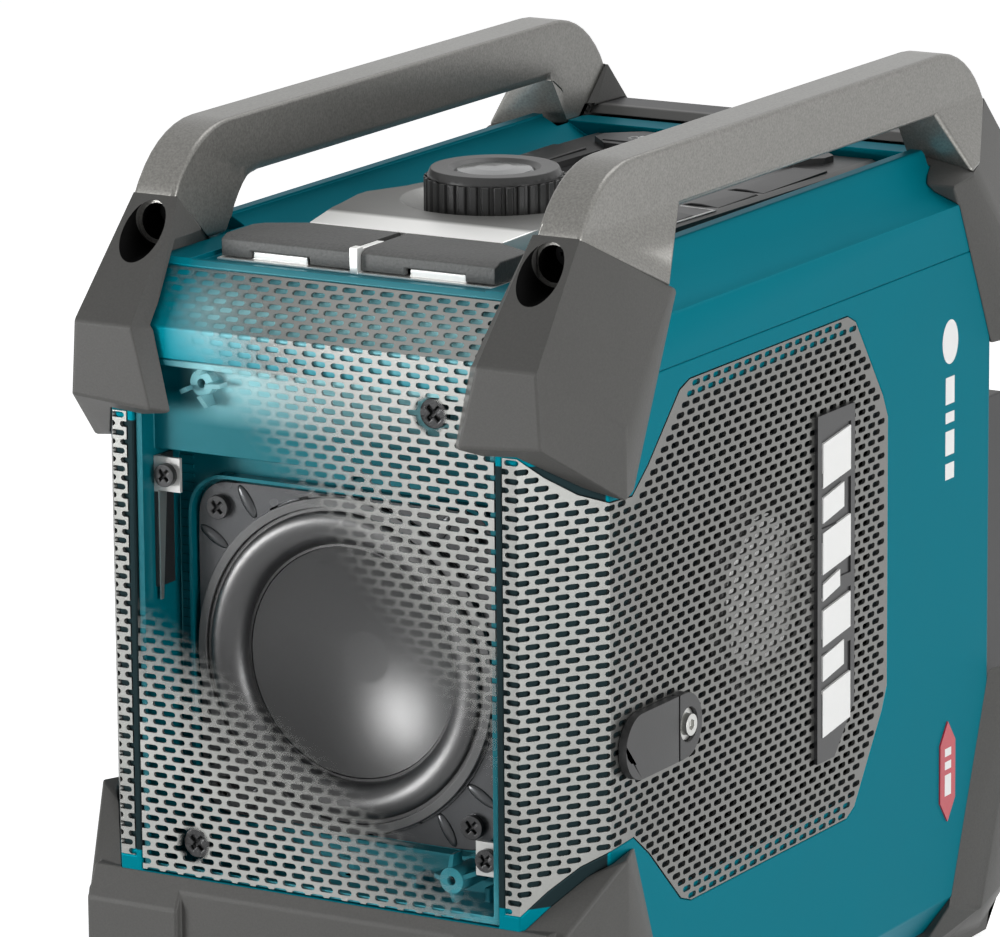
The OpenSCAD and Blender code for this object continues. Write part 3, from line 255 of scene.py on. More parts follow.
def finish(name, colour, roughness, metallic=0.0, mottle=0.1, fleck=0.1, grain_scale=1400.0, bump=0.15, grain_height=0.1,
           coat=0.0, coat_roughness=0.1, specular=0.5, tint=None, boxes=(), bores=False):
    """A finish from the moulded group; boxes are (low, high, colour, soft edge) and paint other colours inside."""
    made = bpy.data.materials.new(name)
    made.use_nodes = True
    tree = made.node_tree
    shader = tree.nodes["Principled BSDF"]
    surface = group_node(tree, MOULDED, {
        "Colour": (*colour, 1.0), "Mottle": mottle, "Mottle Scale": MOTTLE_SCALE, "Fleck": fleck,
        "Grain Scale": grain_scale, "Base Roughness": roughness, "Roughness Spread": ROUGHNESS_SPREAD})
    tone = surface.outputs["Colour"]
    for low, high, other, edge in boxes:
        mask = group_node(tree, IN_BOX, {"Low": low, "High": high, "Edge": edge})
        tone = mix_colour(tree, mask.outputs["Mask"], tone, (*other, 1.0))
    # Painted shade in the screw bores: near black, with no gloss or metal inside them
    if bores:
        in_bore = group_node(tree, IN_BORE, {}).outputs["Mask"]
        tone = mix_colour(tree, in_bore, tone, (*BORE_PAINTED_SHADE, 1.0))
    tree.links.new(tone, shader.inputs["Base Color"])
    tree.links.new(surface.outputs["Roughness"], shader.inputs["Roughness"])
    shader.inputs["Coat Weight"].default_value = coat
    shader.inputs["Coat Roughness"].default_value = coat_roughness
    for label, value in (("Specular IOR Level", specular), ("Metallic", metallic)):
        feed(tree, shader.inputs[label], math_node(tree, "MULTIPLY_ADD", in_bore, -value, value) if bores else value)
    if tint:
        shader.inputs["Specular Tint"].default_value = (*tint, 1.0)
    relief = tree.nodes.new("ShaderNodeBump")
    relief.inputs["Strength"].default_value = bump
    relief.inputs["Distance"].default_value = grain_height * MM
    tree.links.new(surface.outputs["Height"], relief.inputs["Height"])
    tree.links.new(relief.outputs["Normal"], shader.inputs["Normal"])
    return made


TEAL_PAINT = dict(colour=(0.0, 0.15, 0.195), roughness=0.38, metallic=0.3, mottle=0.06, fleck=0.03, bump=0.05,
                  specular=0.04, tint=(0.0, 0.6, 0.75))
# Teal tones for painted light: a pale painted highlight, a dim painted shade and a deep painted shade
TEAL_PAINTED_HIGHLIGHT, TEAL_PAINTED_SHADE, SHADED_TEAL = (0.3, 0.58, 0.62), (0.05, 0.26, 0.31), (0.012, 0.02, 0.022)
SHADED_STEEL, BARE_STEEL = (0.16, 0.16, 0.153), (0.4, 0.4, 0.39)
# Painted highlights: a lighter black for strips along the panel's outer edges, near white for the fascia's front band
BLACK_PAINTED_HIGHLIGHT, SILVER_PAINTED_HIGHLIGHT = (0.07, 0.07, 0.068), (0.95, 0.95, 0.93)
# Inside the tub: near black behind the side sheets, and painted shade in dark teal in the two front corners between
# the front and side sheets
tub_boxes = [(row(-98.3, 34, -194), row(98.3, 236, -24), DARK, 0.0002),
             (row(-98.2, 3, -186), row(-70.6, 56, -34), SHADED_TEAL, 0.0003),
             (row(70.6, 3, -186), row(98.2, 56, -34), SHADED_TEAL, 0.0003)]
finishes = {
    # Painted highlight: a pale patch on the shell's front top, behind the top of the front sheet
    "teal": finish("teal_shell", **TEAL_PAINT, boxes=[(row(-50, 4, -6), row(72, 26, 15), TEAL_PAINTED_HIGHLIGHT, 0.018)]),
    "teal_tub": finish("teal_tub", **TEAL_PAINT, boxes=tub_boxes),
    "teal_inner": finish("teal_baffle", (0.0, 0.085, 0.11), 0.26, mottle=0.12, fleck=0.04, bump=0.06, specular=0.5,
                         tint=(0.3, 0.9, 1.0), boxes=[
                             # Painted highlight: a pale patch over the baffle's upper part
                             (row(-50, 0, -27), row(72, 40, 8), TEAL_PAINTED_HIGHLIGHT, 0.016),
                             # Painted shade along the bottom of the baffle
                             (row(-20, 0, -200), row(72, 40, -178), TEAL_PAINTED_SHADE, 0.014)]),
    "shell_black": finish("back_shell_black", (0.02, 0.02, 0.021), 0.5, bump=0.2, fleck=0.3,
                          boxes=[(row(-77, 310, 15), row(77, 326, 30), (0.07, 0.069, 0.066), 0.0003)]),
    "guard": finish("guard_elastomer", (0.072, 0.071, 0.068), 0.5, mottle=0.14, fleck=0.35, grain_scale=1300.0,
                    bump=0.35, grain_height=0.16, specular=0.2, bores=True),
    "grip": finish("grip_metallic_grey", (0.2, 0.196, 0.183), 0.34, metallic=0.55, mottle=0.05, fleck=1.0,
                   grain_scale=1200.0, bump=0.35, grain_height=0.14, bores=True),
    "sheet": finish("sheet_steel", (0.225, 0.228, 0.218), 0.3, metallic=0.8, mottle=0.12, fleck=0.12, bump=0.08,
                    # Painted shade: the steel of the sheets' side planes is darker
                    boxes=[(row(-120, 40, -230), row(-80, 300, 40), SHADED_STEEL, 0.03),
                           (row(80, 40, -230), row(120, 300, 40), SHADED_STEEL, 0.03)]),
    "fascia": finish("fascia_silver", (0.2, 0.2, 0.193), 0.38, metallic=0.7, mottle=0.05, fleck=0.25, bump=0.12,
                     # Painted highlight: the fascia's front band is near white, its top stays darker silver
                     boxes=[(row(-60, 20, 10), row(60, 96, 28.25), SILVER_PAINTED_HIGHLIGHT, 0.0003)]),
    "panel": finish("panel_black", (0.024, 0.024, 0.0245), 0.42, fleck=0.5, bump=0.25, specular=0.3,
                    # Painted highlight: lighter strips along both outer edges of the panel
                    boxes=[(row(-64, 140, 10), row(-57.2, 305, 30), BLACK_PAINTED_HIGHLIGHT, 0.0006),
                           (row(57.2, 140, 10), row(64, 305, 30), BLACK_PAINTED_HIGHLIGHT, 0.0006)]),
    "keys": finish("key_rubber", (0.014, 0.014, 0.0145), 0.42, fleck=0.5, bump=0.2, specular=0.3),
    "window": finish("window_smoked", (0.012, 0.013, 0.015), 0.06, mottle=0.05, fleck=0.0, bump=0.0, coat=0.6,
                     coat_roughness=0.03),
    "dial": finish("dial_black", (0.045, 0.045, 0.045), 0.4, fleck=0.3, bump=0.25),
    "lens": finish("dial_lens", (0.06, 0.07, 0.073), 0.16, mottle=0.15, bump=0.03, coat=0.2, coat_roughness=0.05),
    "cone": finish("woofer_cone", (0.02, 0.0205, 0.021), 0.34, mottle=0.05, fleck=0.3, bump=0.12, specular=0.55),
    # Painted sheen: the small speakers' metal cones get a near white matt colour in place of their reflections
    "metal_cone": finish("small_cone_metal_painted_sheen", (0.95, 0.95, 0.94), 0.5, bump=0.05),
    "surround": finish("surround_rubber", (0.02, 0.02, 0.021), 0.36, fleck=0.15, bump=0.1, specular=0.7),
    "stamped": finish("stamped_dark", (0.045, 0.047, 0.05), 0.26, metallic=0.4, mottle=0.2, fleck=0.2, bump=0.1),
    "gasket": finish("ring_black", (0.05, 0.051, 0.052), 0.42, fleck=0.3, bump=0.12),
    "magnet": finish("magnet_plain", (0.12, 0.12, 0.12), 0.5, metallic=0.6, bump=0.2),
    "black_screw": finish("screw_black", (0.03, 0.03, 0.031), 0.28, metallic=0.6, bump=0.1),
    "steel_screw": finish("screw_steel", (0.5, 0.5, 0.48), 0.3, metallic=0.9, bump=0.1),
    "dark_screw": finish("screw_blued", (0.02, 0.02, 0.021), 0.45, metallic=0.3, bump=0.1),
    "clip": finish("clip_black", (0.02, 0.02, 0.021), 0.4, metallic=0.3, bump=0.1, boxes=[
        (row(-69, 10, -60), row(-57.5, 16, -46), BARE_STEEL, 0.0003),
        (row(57.5, 10, -180), row(69, 16, -165), BARE_STEEL, 0.0003)]),
    "flap": finish("flap_rubber", (0.085, 0.086, 0.084), 0.55, mottle=0.15, fleck=0.9, grain_scale=900.0, bump=0.6,
                   grain_height=0.3),
    "socket": finish("socket_plated", (0.6, 0.6, 0.58), 0.25, metallic=0.9, bump=0.05),
    "foot": finish("foot_rubber", (0.015, 0.015, 0.015), 0.7, bump=0.3),
    "board": finish("board_green", (0.01, 0.1, 0.04), 0.35, mottle=0.3, bump=0.1),
    "cap": finish("cap_rubber", (0.018, 0.018, 0.0185), 0.42, fleck=0.3, bump=0.2),
    "badge": finish("badge_black", (0.016, 0.016, 0.017), 0.3, bump=0.08),
    "inlay": finish("inlay_red", (0.42, 0.012, 0.03), 0.3, coat=0.2),
    "white": finish("mark_white", (0.74, 0.74, 0.73), 0.4, mottle=0.02, fleck=0.02, bump=0.02),
}


SCREWS_SHOWN, BOSSES_OPEN = ((46.6, -19.4), (-50.0, -181.0)), ((-46.6, -19.4), (50.0, -181.0))


def build_faded_sheet():
    """Front sheet whose steel fades out in a diagonal band, so that the woofer and two of the screws show through."""
    # Its steel is a lighter copy of the side sheets' steel: painted light on the front
    made = finish("sheet_steel_fading", (0.27, 0.273, 0.262), 0.3, metallic=0.8, mottle=0.12, fleck=0.12, bump=0.08)
    tree = made.node_tree
    band = group_node(tree, FADE_BAND, {
        "Upper Tilt": 1.13, "Upper": (UP - 20) * MM, "Upper Softness": 0.048,
        "Lower Tilt": 0.664, "Lower": (UP - 166) * MM, "Lower Softness": 0.028})
    alpha = band.outputs["Mask"]
    for x, z in SCREWS_SHOWN:
        centre = row(x, 0, z)
        spot = group_node(tree, CLEAR_SPOT, {
            "Centre X": centre.x, "Centre Z": centre.z, "Radius": 0.0062, "Softness": 0.0012})
        alpha = math_node(tree, "MULTIPLY", alpha, spot.outputs["Mask"])
    tree.links.new(alpha, tree.nodes["Principled BSDF"].inputs["Alpha"])
    return made


finishes["sheet_fading"] = build_faded_sheet()


# ---------------------------------------------------------------- pieces
def new_piece(name, mesh, look, body, smooth=30.0):
    piece = bpy.data.objects.new(name, mesh)
    bpy.context.scene.collection.objects.link(piece)
    mesh.materials.clear()
    mesh.materials.append(finishes[look])
    mesh.shade_smooth()
    mesh.set_sharp_from_angle(angle=math.radians(smooth))
    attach(piece, body)
    return piece


def body_of_node(node):
    for body, nodes in frame["record"]["behaviour"]["bodies"].items():
        if node in nodes:
            return body
    raise KeyError(node)


MANY_SIDES = 24
MERGE, SHORTEST, FLAT_ANGLE = 0.01 * MM, 0.05 * MM, math.radians(0.6)
ROUNDED_SHARE = 0.42
AREA_SLACK = 0.002


def meeting_angle(edge, vert):
    """1 where the other edges leave this one widely, towards 0 where one runs close along it."""
    along = (edge.other_vert(vert).co - vert.co).normalized()
    smallest = 1.0
    for other in vert.link_edges:
        if other != edge:
            away = (other.other_vert(vert).co - vert.co).normalized()
            smallest = min(smallest, max(0.0, 1.0 - max(0.0, along.dot(away)) ** 2) ** 0.5)
    return smallest


def weigh_edges(work, width, angle):
    """Marks the edges to round; close neighbours keep the rounding small."""
    layer = work.edges.layers.float.get("bevel_weight_edge") or work.edges.layers.float.new("bevel_weight_edge")
    for edge in work.edges:
        edge[layer] = 0.0
        if len(edge.link_faces) == 2 and edge.calc_face_angle(0.0) >= angle:
            near = min(other.calc_length() for vert in edge.verts for other in vert.link_edges)
            tight = min(meeting_angle(edge, vert) for vert in edge.verts)
            edge[layer] = min(1.0, ROUNDED_SHARE * near * tight / width)


def fills_true(mesh):
    """True while every many-sided face is filled with triangles of the same area."""
    mesh.calc_loop_triangles()
    filled = [0.0] * len(mesh.polygons)
    for triangle in mesh.loop_triangles:
        filled[triangle.polygon_index] += triangle.area
    return all(abs(face.area - area) <= 1e-9 + AREA_SLACK * face.area for face, area in zip(mesh.polygons, filled))


def merged_copy(node, flat_faces):
    mesh = frame["nodes"][node].data.copy()
    work = bmesh.new()
    work.from_mesh(mesh)
    bmesh.ops.remove_doubles(work, verts=work.verts, dist=MERGE)
    bmesh.ops.dissolve_degenerate(work, edges=work.edges, dist=SHORTEST)
    if flat_faces:
        bmesh.ops.dissolve_limit(work, angle_limit=FLAT_ANGLE, verts=work.verts, edges=work.edges)
        bmesh.ops.triangulate(work, faces=[face for face in work.faces if len(face.verts) > MANY_SIDES])
    return mesh, work


def dressed(node, look, bevel, segments=3, angle=24.0, smooth=30.0):
    """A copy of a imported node, with merged faces and rounded edges if bevel isn't 0, which stands for it."""
    for flat_faces in (bevel > 0, False):
        mesh, work = merged_copy(node, flat_faces)
        if bevel:
            weigh_edges(work, bevel * MM, math.radians(angle))
        work.to_mesh(mesh)
        work.free()
        if fills_true(mesh):
            break
    custom = mesh.attributes.get("custom_normal")
    if custom:
        mesh.attributes.remove(custom)
    piece = new_piece(node + "_body", mesh, look, body_of_node(node), smooth)
    if bevel:
        edge = piece.modifiers.new("rounded_edges", "BEVEL")
        edge.limit_method = "WEIGHT"
        edge.width = bevel * MM
        edge.segments = segments
        edge.use_clamp_overlap = False
        edge.harden_normals = True
    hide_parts(node)
    return piece


def paint(node, look):
    """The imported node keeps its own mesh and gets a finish."""
    materials = frame["nodes"][node].data.materials
    for index in range(len(materials)):
        materials[index] = finishes[look]
    if not materials:
        materials.append(finishes[look])


def close_box(work, corners):
    """Six faces on eight corners, given with the last axis changing fastest."""
    verts = [work.verts.new(corner) for corner in corners]
    for face in ((0, 1, 3, 2), (4, 6, 7, 5), (0, 4, 5, 1), (2, 3, 7, 6), (0, 2, 6, 4), (1, 5, 7, 3)):
        work.faces.new([verts[i] for i in face])


def box_mesh(work, low, high):
    close_box(work, [(x, y, z) for x in (low[0], high[0]) for y in (low[1], high[1]) for z in (low[2], high[2])])


def side_wall(work, lower, upper):
    """Faces between two loops with the same number of corners."""
    for i in range(len(lower)):
        j = (i + 1) % len(lower)
        work.faces.new((lower[i], lower[j], upper[j], upper[i]))


# ---------------------------------------------------------------- perforated sheets
SLOT_LENGTH, SLOT_WIDTH = 5.5, 2.0
SLOT_PITCH, SLOT_ROW = 7.37, 3.15
SLOT_CORNER = 0.485  # corner radius as a share of the slot's width
SLOT_MARGIN = 0.1
SLOT_MERGE, CUT_MERGE = 0.002 * MM, 0.001 * MM
SHEET_THICK = 1.2


def build_perforation_tree():
    """Fills an outline and leaves a slot at each marked point; the sheet stays flat in the XY plane."""
    tree = bpy.data.node_groups.new("perforated_sheet", "GeometryNodeTree")
    for label, kind in (("Geometry", "NodeSocketGeometry"), ("Slot Length", "NodeSocketFloat"),
                        ("Slot Width", "NodeSocketFloat"), ("Finish", "NodeSocketMaterial")):
        tree.interface.new_socket(label, in_out="INPUT", socket_type=kind)
    tree.interface.new_socket("Geometry", in_out="OUTPUT", socket_type="NodeSocketGeometry")
    gin, gout = tree.nodes.new("NodeGroupInput"), tree.nodes.new("NodeGroupOutput")

    def add(kind, **settings):
        node = tree.nodes.new(kind)
        for key, value in settings.items():
            setattr(node, key, value)
        return node

    link = tree.links.new
    marked = add("GeometryNodeInputNamedAttribute", data_type="BOOLEAN")
    marked.inputs["Name"].default_value = "slot"
    parts = add("GeometryNodeSeparateGeometry", domain="POINT")
    link(gin.outputs["Geometry"], parts.inputs["Geometry"])
    link(marked.outputs["Attribute"], parts.inputs["Selection"])
    rim = add("GeometryNodeMeshToCurve")
    link(parts.outputs["Inverted"], rim.inputs["Mesh"])
    blank = add("GeometryNodeCurvePrimitiveQuadrilateral")
    link(gin.outputs["Slot Length"], blank.inputs["Width"])
    link(gin.outputs["Slot Width"], blank.inputs["Height"])
    radius = add("ShaderNodeMath", operation="MULTIPLY")
    link(gin.outputs["Slot Width"], radius.inputs[0])
    radius.inputs[1].default_value = SLOT_CORNER
    rounded = add("GeometryNodeFilletCurve", mode="POLY")
    link(blank.outputs["Curve"], rounded.inputs["Curve"])
    link(radius.outputs[0], rounded.inputs["Radius"])
    rounded.inputs["Count"].default_value = 2
    copies = add("GeometryNodeInstanceOnPoints")
    link(parts.outputs["Selection"], copies.inputs["Points"])
    link(rounded.outputs["Curve"], copies.inputs["Instance"])
    real = add("GeometryNodeRealizeInstances")
    link(copies.outputs["Instances"], real.inputs["Geometry"])
    both = add("GeometryNodeJoinGeometry")
    link(rim.outputs["Curve"], both.inputs["Geometry"])
    link(real.outputs["Geometry"], both.inputs["Geometry"])
    fill = add("GeometryNodeFillCurve", mode="TRIANGLES")
    link(both.outputs["Geometry"], fill.inputs["Curve"])
    coat = add("GeometryNodeSetMaterial")
    link(fill.outputs["Mesh"], coat.inputs["Geometry"])
    link(gin.outputs["Finish"], coat.inputs["Material"])
    link(coat.outputs["Geometry"], gout.inputs["Geometry"])
    return tree


PERFORATION = build_perforation_tree()


def inside(point, loop):
    x, y = point
    hit = False
    for (ax, ay), (bx, by) in zip(loop, loop[1:] + loop[:1]):
        if (ay > y) != (by > y) and x < (bx - ax) * (y - ay) / (by - ay) + ax:
            hit = not hit
    return hit


def edge_distance(point, loop):
    here = Vector(point)
    best = 1e9
    for a, b in zip(loop, loop[1:] + loop[:1]):
        a, b = Vector(a), Vector(b)
        along = max(0.0, min(1.0, (here - a).dot(b - a) / (b - a).length_squared))
        best = min(best, (a + (b - a) * along - here).length)
    return best


def slot_fits(x, y, loops):
    half = (SLOT_LENGTH - SLOT_WIDTH) / 2
    for end in (-half, 0.0, half):
        point = (x + end, y)
        if not inside(point, loops[0]) or any(inside(point, loop) for loop in loops[1:]):
            return False
        if min(edge_distance(point, loop) for loop in loops) < SLOT_WIDTH / 2 + SLOT_MARGIN:
            return False
    return True


def slice_sheet(work, axis, at, keep=0):
    """Cuts the flat sheet along a line; keep is the side that stays, 0 for both."""
    normal = Vector((1, 0, 0)) if axis == "u" else Vector((0, 1, 0))
    bmesh.ops.bisect_plane(work, geom=work.verts[:] + work.edges[:] + work.faces[:], dist=CUT_MERGE,
                           plane_co=normal * at * MM, plane_no=-normal * keep if keep else normal, clear_outer=keep != 0)


def perforated(name, look, loops, folds, place, start, cuts):
    """Punched sheet: outline and holes in the unrolled plane, cut to its edges, then bent along the folds by place."""
    mesh = bpy.data.meshes.new(name)
    verts, edges, marks = [], [], []
    for loop in loops:
        first = len(verts)
        verts += [(u * MM, v * MM, 0.0) for u, v in loop]
        edges += [(first + i, first + (i + 1) % len(loop)) for i in range(len(loop))]
        marks += [False] * len(loop)
    low_u, high_u = min(p[0] for p in loops[0]), max(p[0] for p in loops[0])
    low_v, high_v = min(p[1] for p in loops[0]), max(p[1] for p in loops[0])
    for line in range(int((high_v - low_v) / SLOT_ROW) + 3):
        v = low_v + start[1] + (line - 1) * SLOT_ROW
        shift = SLOT_PITCH / 2 if line % 2 else 0.0
        for step in range(int((high_u - low_u) / SLOT_PITCH) + 3):
            u = low_u + start[0] + shift + (step - 1) * SLOT_PITCH
            if slot_fits(u, v, loops):
                verts.append((u * MM, v * MM, 0.0))
                marks.append(True)
    mesh.from_pydata(verts, edges, [])
    attribute = mesh.attributes.new("slot", "BOOLEAN", "POINT")
    attribute.data.foreach_set("value", marks)
    flat = bpy.data.objects.new(name + "_flat", mesh)
    bpy.context.scene.collection.objects.link(flat)
    modifier = flat.modifiers.new("perforation", "NODES")
    modifier.node_group = PERFORATION
    wanted = {"Slot Length": SLOT_LENGTH * MM, "Slot Width": SLOT_WIDTH * MM, "Finish": finishes[look]}
    for item in PERFORATION.interface.items_tree:
        if item.item_type == "SOCKET" and item.in_out == "INPUT" and item.name in wanted:
            modifier[item.identifier] = wanted[item.name]
    graph = bpy.context.evaluated_depsgraph_get()
    punched = bpy.data.meshes.new_from_object(flat.evaluated_get(graph), depsgraph=graph)
    bpy.data.objects.remove(flat)
    work = bmesh.new()
    work.from_mesh(punched)
    bmesh.ops.remove_doubles(work, verts=work.verts, dist=SLOT_MERGE)
    for line in (*cuts, *folds):
        slice_sheet(work, *line)
    bmesh.ops.triangulate(work, faces=work.faces)
    front = list(work.faces)
    for face in front:
        if face.normal.z < 0:
            face.normal_flip()
    # Back side and the walls of the holes
    twin = {vert: work.verts.new((vert.co.x, vert.co.y, -SHEET_THICK * MM)) for vert in list(work.verts)}
    rims = [edge for edge in work.edges if len(edge.link_faces) == 1]
    for edge in rims:
        loop = edge.link_loops[0]
        a, b = loop.vert, loop.link_loop_next.vert
        work.faces.new((b, a, twin[a], twin[b]))
    for face in front:
        work.faces.new([twin[v] for v in reversed(face.verts)])
    for vert in work.verts:
        vert.co = place(vert.co.x / MM, vert.co.y / MM, -vert.co.z / MM) * MM
    work.to_mesh(punched)
    work.free()
    punched.name = name
    return new_piece(name, punched, look, "chassis")


def ellipse(cx, cy, across, up, count):
    turns = (2 * math.pi * i / count for i in range(count))
    return [(cx + across * math.cos(turn), cy + up * math.sin(turn)) for turn in turns]


# Front sheet: vertical up to the knee, then slanted back
SLANT_RISE, SLANT_RUN = 39.0, 34.0
slant_length = math.hypot(SLANT_RISE, SLANT_RUN)
GRILLE_LOW = LOW + 48.6
front_top = UP + 17.8 * slant_length / SLANT_RISE
GRILLE_HALF, SPARE = 71.0, 5.0
KNEE_BLEND, CORNER_BLEND = 3.0, 10.0


def front_place(u, v, depth):
    """Depth goes into the radio; the two faces meet in a mitre at the knee."""
    mitre = math.tan(0.5 * math.atan2(SLANT_RUN, SLANT_RISE))
    knee_at = UP - depth * mitre
    if v <= UP:
        z = v if v < UP - KNEE_BLEND else v + (knee_at - UP) * (v - UP + KNEE_BLEND) / KNEE_BLEND
        return Vector((u, FACE_Y + depth - HALF_LEN, z))
    along = v - UP
    y = FACE_Y + depth - HALF_LEN + along * SLANT_RUN / slant_length
    z = knee_at + along * SLANT_RISE / slant_length
    return Vector((u, y, z))


# The slots run on past the edges, where the sheet is cut through them
front_loop = [(side * (GRILLE_HALF + SPARE), v) for side, v in (
    (-1, GRILLE_LOW - SPARE), (1, GRILLE_LOW - SPARE), (1, front_top + SPARE), (-1, front_top + SPARE))]
front_cuts = [("u", -GRILLE_HALF, 1), ("u", GRILLE_HALF, -1), ("v", GRILLE_LOW, 1), ("v", front_top, -1)]
front_sheet = perforated("front_grille_sheet", "sheet_fading", [front_loop], [("v", UP)], front_place,
                         start=(2.0, 1.6), cuts=front_cuts)
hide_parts("front_grille")

# Side sheets: front strip, slanted corner and side plane unrolled into one band
STRIP_X = 74.1
CORNER_X, CORNER_DX, CORNER_DY = 79.7, 19.3, 28.0
corner_length = math.hypot(CORNER_DX, CORNER_DY)
fold_one = CORNER_X - STRIP_X
fold_two = fold_one + corner_length
GRILLE_MIDDLE = UP + SPEAKER_Z - 0.5


def side_u(y):
    if y <= FACE_Y:
        return fold_one
    if y <= FACE_Y + CORNER_DY:
        return fold_one + (y - FACE_Y) * corner_length / CORNER_DY
    return fold_two + y - FACE_Y - CORNER_DY


side_top = [(5.6, 78.5), (14, 71), (24, 64), (33.6, 60), (49, 59), (60, 67.5), (82, 89), (89, 91.5), (204, 91.5),
            (210, 88.5), (231, 58), (235, 49.5)]
top_points = [(-SPARE, 78.5)] + [(side_u(y), z) for y, z in side_top]
side_loop = [(u, GRILLE_MIDDLE - z) for u, z in top_points] + [(u, GRILLE_MIDDLE + z) for u, z in reversed(top_points)]


def side_place(side):
    def place(u, v, depth):
        turn_one = math.tan(0.5 * math.atan2(CORNER_DY, CORNER_DX))
        turn_two = math.tan(0.5 * math.atan2(CORNER_DX, CORNER_DY))
        if u <= fold_one:
            x = STRIP_X + u - depth * turn_one * (u / fold_one)
            return Vector((side * x, FACE_Y + depth - HALF_LEN, v))
        if u >= fold_two:
            back = u - fold_two
            pull = depth * turn_two * max(0.0, 1 - back / CORNER_BLEND)
            return Vector((side * (HALF_W - depth), FACE_Y + CORNER_DY + back + pull - HALF_LEN, v))
        share = (u - fold_one) / corner_length
        start = Vector((CORNER_X - depth * turn_one, FACE_Y + depth))
        end = Vector((HALF_W - depth, FACE_Y + CORNER_DY + depth * turn_two))
        point = start.lerp(end, share)
        return Vector((side * point.x, point.y - HALF_LEN, v))
    return place


SOCKET_Y, SOCKET_RISE, SOCKET_HOLE = 52, -136.5, 7.3


def side_sheet(side, label):
    loops = [side_loop]
    if side > 0:
        loops.append(ellipse(side_u(SOCKET_Y), UP + SOCKET_RISE, SOCKET_HOLE, SOCKET_HOLE, 28))
    sheet = perforated(f"side_grille_sheet_{label}", "sheet", loops, [("u", fold_one), ("u", fold_two)],
                       side_place(side), start=(1.2, 1.6), cuts=[("u", 0, 1)])
    if side < 0:
        sheet.data.flip_normals()
    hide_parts(f"side_grille_{label}")


side_sheet(1, "right")
side_sheet(-1, "left")

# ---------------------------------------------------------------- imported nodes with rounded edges
for node, look, bevel in (
        ("upper_bumper_front_right", "guard", 1.2), ("upper_bumper_front_left", "guard", 1.2),
        ("upper_bumper_rear_right", "guard", 1.2), ("upper_bumper_rear_left", "guard", 1.2),
        ("lower_bumper_front", "guard", 1.2), ("lower_bumper_rear", "guard", 1.2),
        ("upper_housing", "teal", 0.6), ("lower_housing", "teal_tub", 0.6),
        ("rear_cover", "shell_black", 0.6), ("battery_door", "shell_black", 0.8), ("door_latch", "panel", 0.4),
        ("front_baffle", "teal_inner", 0.5), ("control_panel", "panel", 0.0), ("dial_fascia", "fascia", 0.4),
        ("port_flap_right", "flap", 0.6), ("port_flap_left", "flap", 0.6),
        ("dc_cap", "cap", 0.5), ("dc_cap_anchor", "cap", 0.5),
        ("key_right_front", "keys", 0.5), ("key_right_middle", "keys", 0.5), ("key_right_rear", "keys", 0.5),
        ("key_left_front", "keys", 0.5), ("key_left_middle", "keys", 0.5), ("key_left_rear", "keys", 0.5),
        ("power_key", "keys", 0.5), ("tuning_knob", "dial", 0.3), ("subwoofer_basket", "stamped", 0.5),
        ("baffle_screws", "black_screw", 0.5), ("subwoofer_screws", "black_screw", 0.5),
        ("dc_cap_screw", "steel_screw", 0.2), ("bumper_screws", "dark_screw", 0.2), ("display_window", "window", 0.3),
        ("subwoofer_cone", "cone", 0.0), ("subwoofer_surround", "surround", 0.0), ("subwoofer_gasket", "gasket", 0.3),
        ("side_speaker_cone_right", "metal_cone", 0.0), ("side_speaker_cone_left", "metal_cone", 0.0)):
    dressed(node, look, bevel)
for node in ("handle_right", "handle_left"):
    dressed(node, "grip", 1.8, segments=4, angle=40.0, smooth=42.0)

for node, look in (
        ("subwoofer_magnet", "magnet"), ("side_speaker_magnets", "magnet"), ("side_speaker_screws", "black_screw"),
        ("side_speaker_frame_right", "stamped"), ("side_speaker_frame_left", "stamped"),
        ("side_speaker_surround_right", "surround"), ("side_speaker_surround_left", "surround"),
        ("grille_brackets", "clip"), ("knob_cap", "lens"), ("encoder_shaft", "steel_screw"), ("encoder_body", "panel"),
        ("port_sockets", "socket"), ("dc_jack", "panel"), ("battery_terminals", "panel"),
        ("circuit_board", "board"), ("badge_plates", "badge"), ("accent_inlays", "inlay"), ("foot_pads", "foot")):
    paint(node, look)


# ---------------------------------------------------------------- added details
def shaped(name, look, fill, smooth=30.0, body="chassis"):
    """A piece whose mesh is built by fill(work) in metres."""
    mesh = bpy.data.meshes.new(name)
    work = bmesh.new()
    fill(work)
    bmesh.ops.recalc_face_normals(work, faces=work.faces)
    work.to_mesh(mesh)
    work.free()
    return new_piece(name, mesh, look, body, smooth)


def prism(work, outline, low, high):
    """Outline of y, z points, extruded from one x to the other; metres."""
    bottom, top = ([work.verts.new((x, y, z)) for y, z in outline] for x in (low, high))
    work.faces.new(bottom)
    work.faces.new(top)
    side_wall(work, bottom, top)


def side_prism(work, side, outline, x0, x1):
    """Flat shape on a side wall: outline of row() y and z, x from the middle; millimetres."""
    points = [row(0, y, z) for y, z in outline]
    prism(work, [(point.y, point.z) for point in points], *sorted((side * x0 * MM, side * x1 * MM)))


def side_box(work, side, y0, y1, z0, z1, x0, x1):
    """Box on a side wall: y and z as row() takes them, x from the middle; millimetres."""
    low, high = row(0, y0, z0), row(0, y1, z1)
    near, far = sorted((side * x0 * MM, side * x1 * MM))
    box_mesh(work, (near, low.y, low.z), (far, high.y, high.z))


BADGE_LOW, BADGE_FRONT, BADGE_REAR, BADGE_LEAN, BADGE_GAP = -166.0, 182.6, 203.4, 3.0, 3.6


